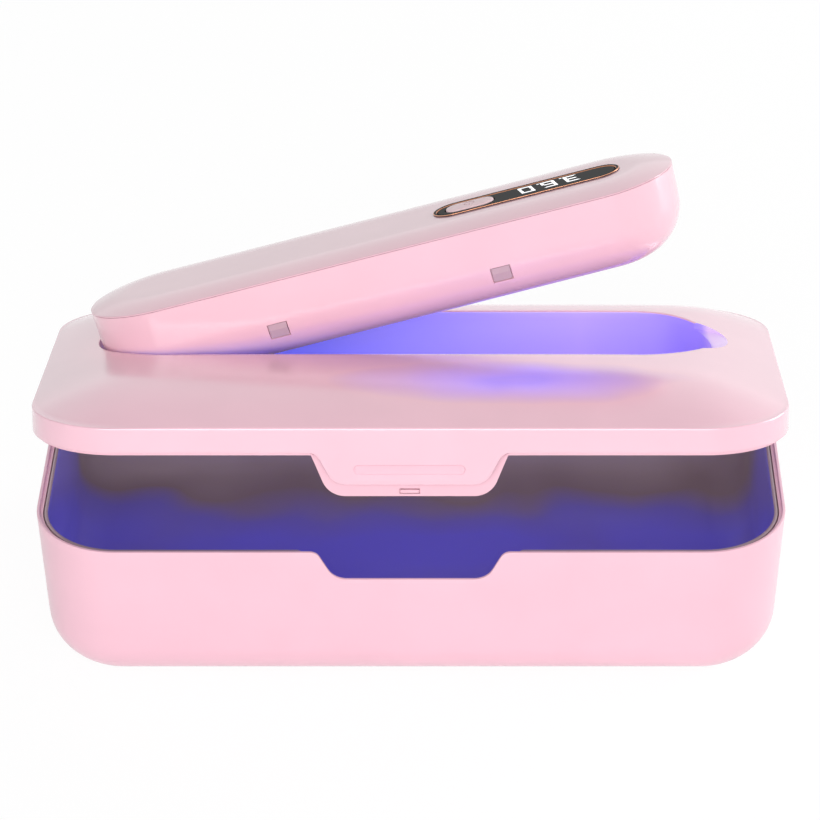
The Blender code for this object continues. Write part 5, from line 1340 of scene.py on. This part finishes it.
def make_floor():
    """Pale floor that reads as white and keeps a faint shadow."""
    shape = bmesh.new()
    bmesh.ops.create_grid(shape, x_segments=1, y_segments=1, size=6.0)
    material, tree, shader = new_material("studio_floor")
    shader.inputs["Base Color"].default_value = (0.93, 0.93, 0.93, 1.0)
    shader.inputs["Roughness"].default_value = 0.9
    shader.inputs["Specular IOR Level"].default_value = 0.1
    path = tree.nodes.new("ShaderNodeLightPath")
    glow = tree.nodes.new("ShaderNodeEmission")
    glow.inputs["Color"].default_value = (1.0, 1.0, 1.0, 1.0)
    glow.inputs["Strength"].default_value = 1.03
    seen = tree.nodes.new("ShaderNodeMath")
    seen.operation = "MAXIMUM"
    keep = tree.nodes.new("ShaderNodeMath")
    keep.operation = "MULTIPLY"
    keep.inputs[1].default_value = 0.90
    mix = tree.nodes.new("ShaderNodeMixShader")
    output = tree.nodes["Material Output"]
    tree.links.new(path.outputs["Is Camera Ray"], seen.inputs[0])
    tree.links.new(path.outputs["Is Glossy Ray"], seen.inputs[1])
    tree.links.new(seen.outputs["Value"], keep.inputs[0])
    tree.links.new(keep.outputs["Value"], mix.inputs["Fac"])
    tree.links.new(shader.outputs["BSDF"], mix.inputs[1])
    tree.links.new(glow.outputs["Emission"], mix.inputs[2])
    tree.links.new(mix.outputs["Shader"], output.inputs["Surface"])
    floor = new_object("studio_floor", shape, [material])


def make_world(strength, mirrored):
    """Even white surroundings, brighter in reflections and white behind the object."""
    world = bpy.data.worlds.new("studio")
    bpy.context.scene.world = world
    world.use_nodes = True
    tree = world.node_tree
    tree.nodes.clear()
    path = tree.nodes.new("ShaderNodeLightPath")
    lit = tree.nodes.new("ShaderNodeBackground")
    lit.inputs["Strength"].default_value = strength
    seen = tree.nodes.new("ShaderNodeBackground")
    seen.inputs["Strength"].default_value = 1.0
    gloss = tree.nodes.new("ShaderNodeBackground")
    gloss.inputs["Strength"].default_value = mirrored
    reflected = tree.nodes.new("ShaderNodeMixShader")
    mix = tree.nodes.new("ShaderNodeMixShader")
    output = tree.nodes.new("ShaderNodeOutputWorld")
    direct = tree.nodes.new("ShaderNodeMath")
    direct.operation = "MAXIMUM"
    tree.links.new(path.outputs["Is Camera Ray"], direct.inputs[0])
    tree.links.new(path.outputs["Is Transmission Ray"], direct.inputs[1])
    tree.links.new(direct.outputs["Value"], mix.inputs["Fac"])
    tree.links.new(path.outputs["Is Glossy Ray"], reflected.inputs["Fac"])
    tree.links.new(lit.outputs["Background"], reflected.inputs[1])
    tree.links.new(gloss.outputs["Background"], reflected.inputs[2])
    tree.links.new(reflected.outputs["Shader"], mix.inputs[1])
    tree.links.new(seen.outputs["Background"], mix.inputs[2])
    tree.links.new(mix.outputs["Shader"], output.inputs["Surface"])


def make_light(name, place, target, size, power, colour=(1.0, 1.0, 1.0)):
    """Soft rectangular lamp aimed at a point."""
    data = bpy.data.lights.new(name, "AREA")
    data.shape = "RECTANGLE"
    data.size = size[0]
    data.size_y = size[1]
    data.energy = power
    data.color = colour
    light = bpy.data.objects.new(name, data)
    light.location = place
    light.visible_camera = False
    light.rotation_euler = (Vector(target) - Vector(place)).to_track_quat("-Z", "Y").to_euler()
    bpy.context.scene.collection.objects.link(light)


def make_camera():
    """Camera at the photograph's place."""
    data = bpy.data.cameras.new("camera")
    data.sensor_width = SENSOR_WIDTH
    data.lens = FOCAL_PIXELS * SENSOR_WIDTH / IMAGE_SIZE
    data.shift_x = (IMAGE_SIZE / 2 - PRINCIPAL_X) / IMAGE_SIZE
    data.clip_start = 0.05
    data.clip_end = 50.0
    camera = bpy.data.objects.new("camera", data)
    camera.location = CAMERA_PLACE
    camera.rotation_euler = (CAMERA_TILT, 0.0, 0.0)
    bpy.context.scene.collection.objects.link(camera)
    bpy.context.scene.camera = camera


def main():
    """Dress the frame and light it."""
    make_camera()
    paint_cad_nodes()
    make_tub_shell()
    make_tub_liner()
    make_lid_cover()
    make_grip_bar()
    make_lid_inner()
    make_dock_tray()
    make_wand_cover()
    make_wand_shell()
    make_bezel()
    make_panel()
    make_button()
    make_button_mark()
    make_digits()
    make_floor()
    make_world(0.40, 1.2)
    make_light("front", (-0.1, -1.75, 0.93), (0.0, 0.0, 0.04), (1.6, 1.2), 28.0)
    make_light("back", (0.0, 2.2, 0.9), (0.0, 0.0, 0.05), (3.0, 1.6), 5.0)
    make_light("right", (1.6, 0.7, 0.45), (0.0, 0.0, 0.06), (1.2, 1.0), 23.0)
    bpy.context.scene.view_settings.view_transform = "Standard"


main()
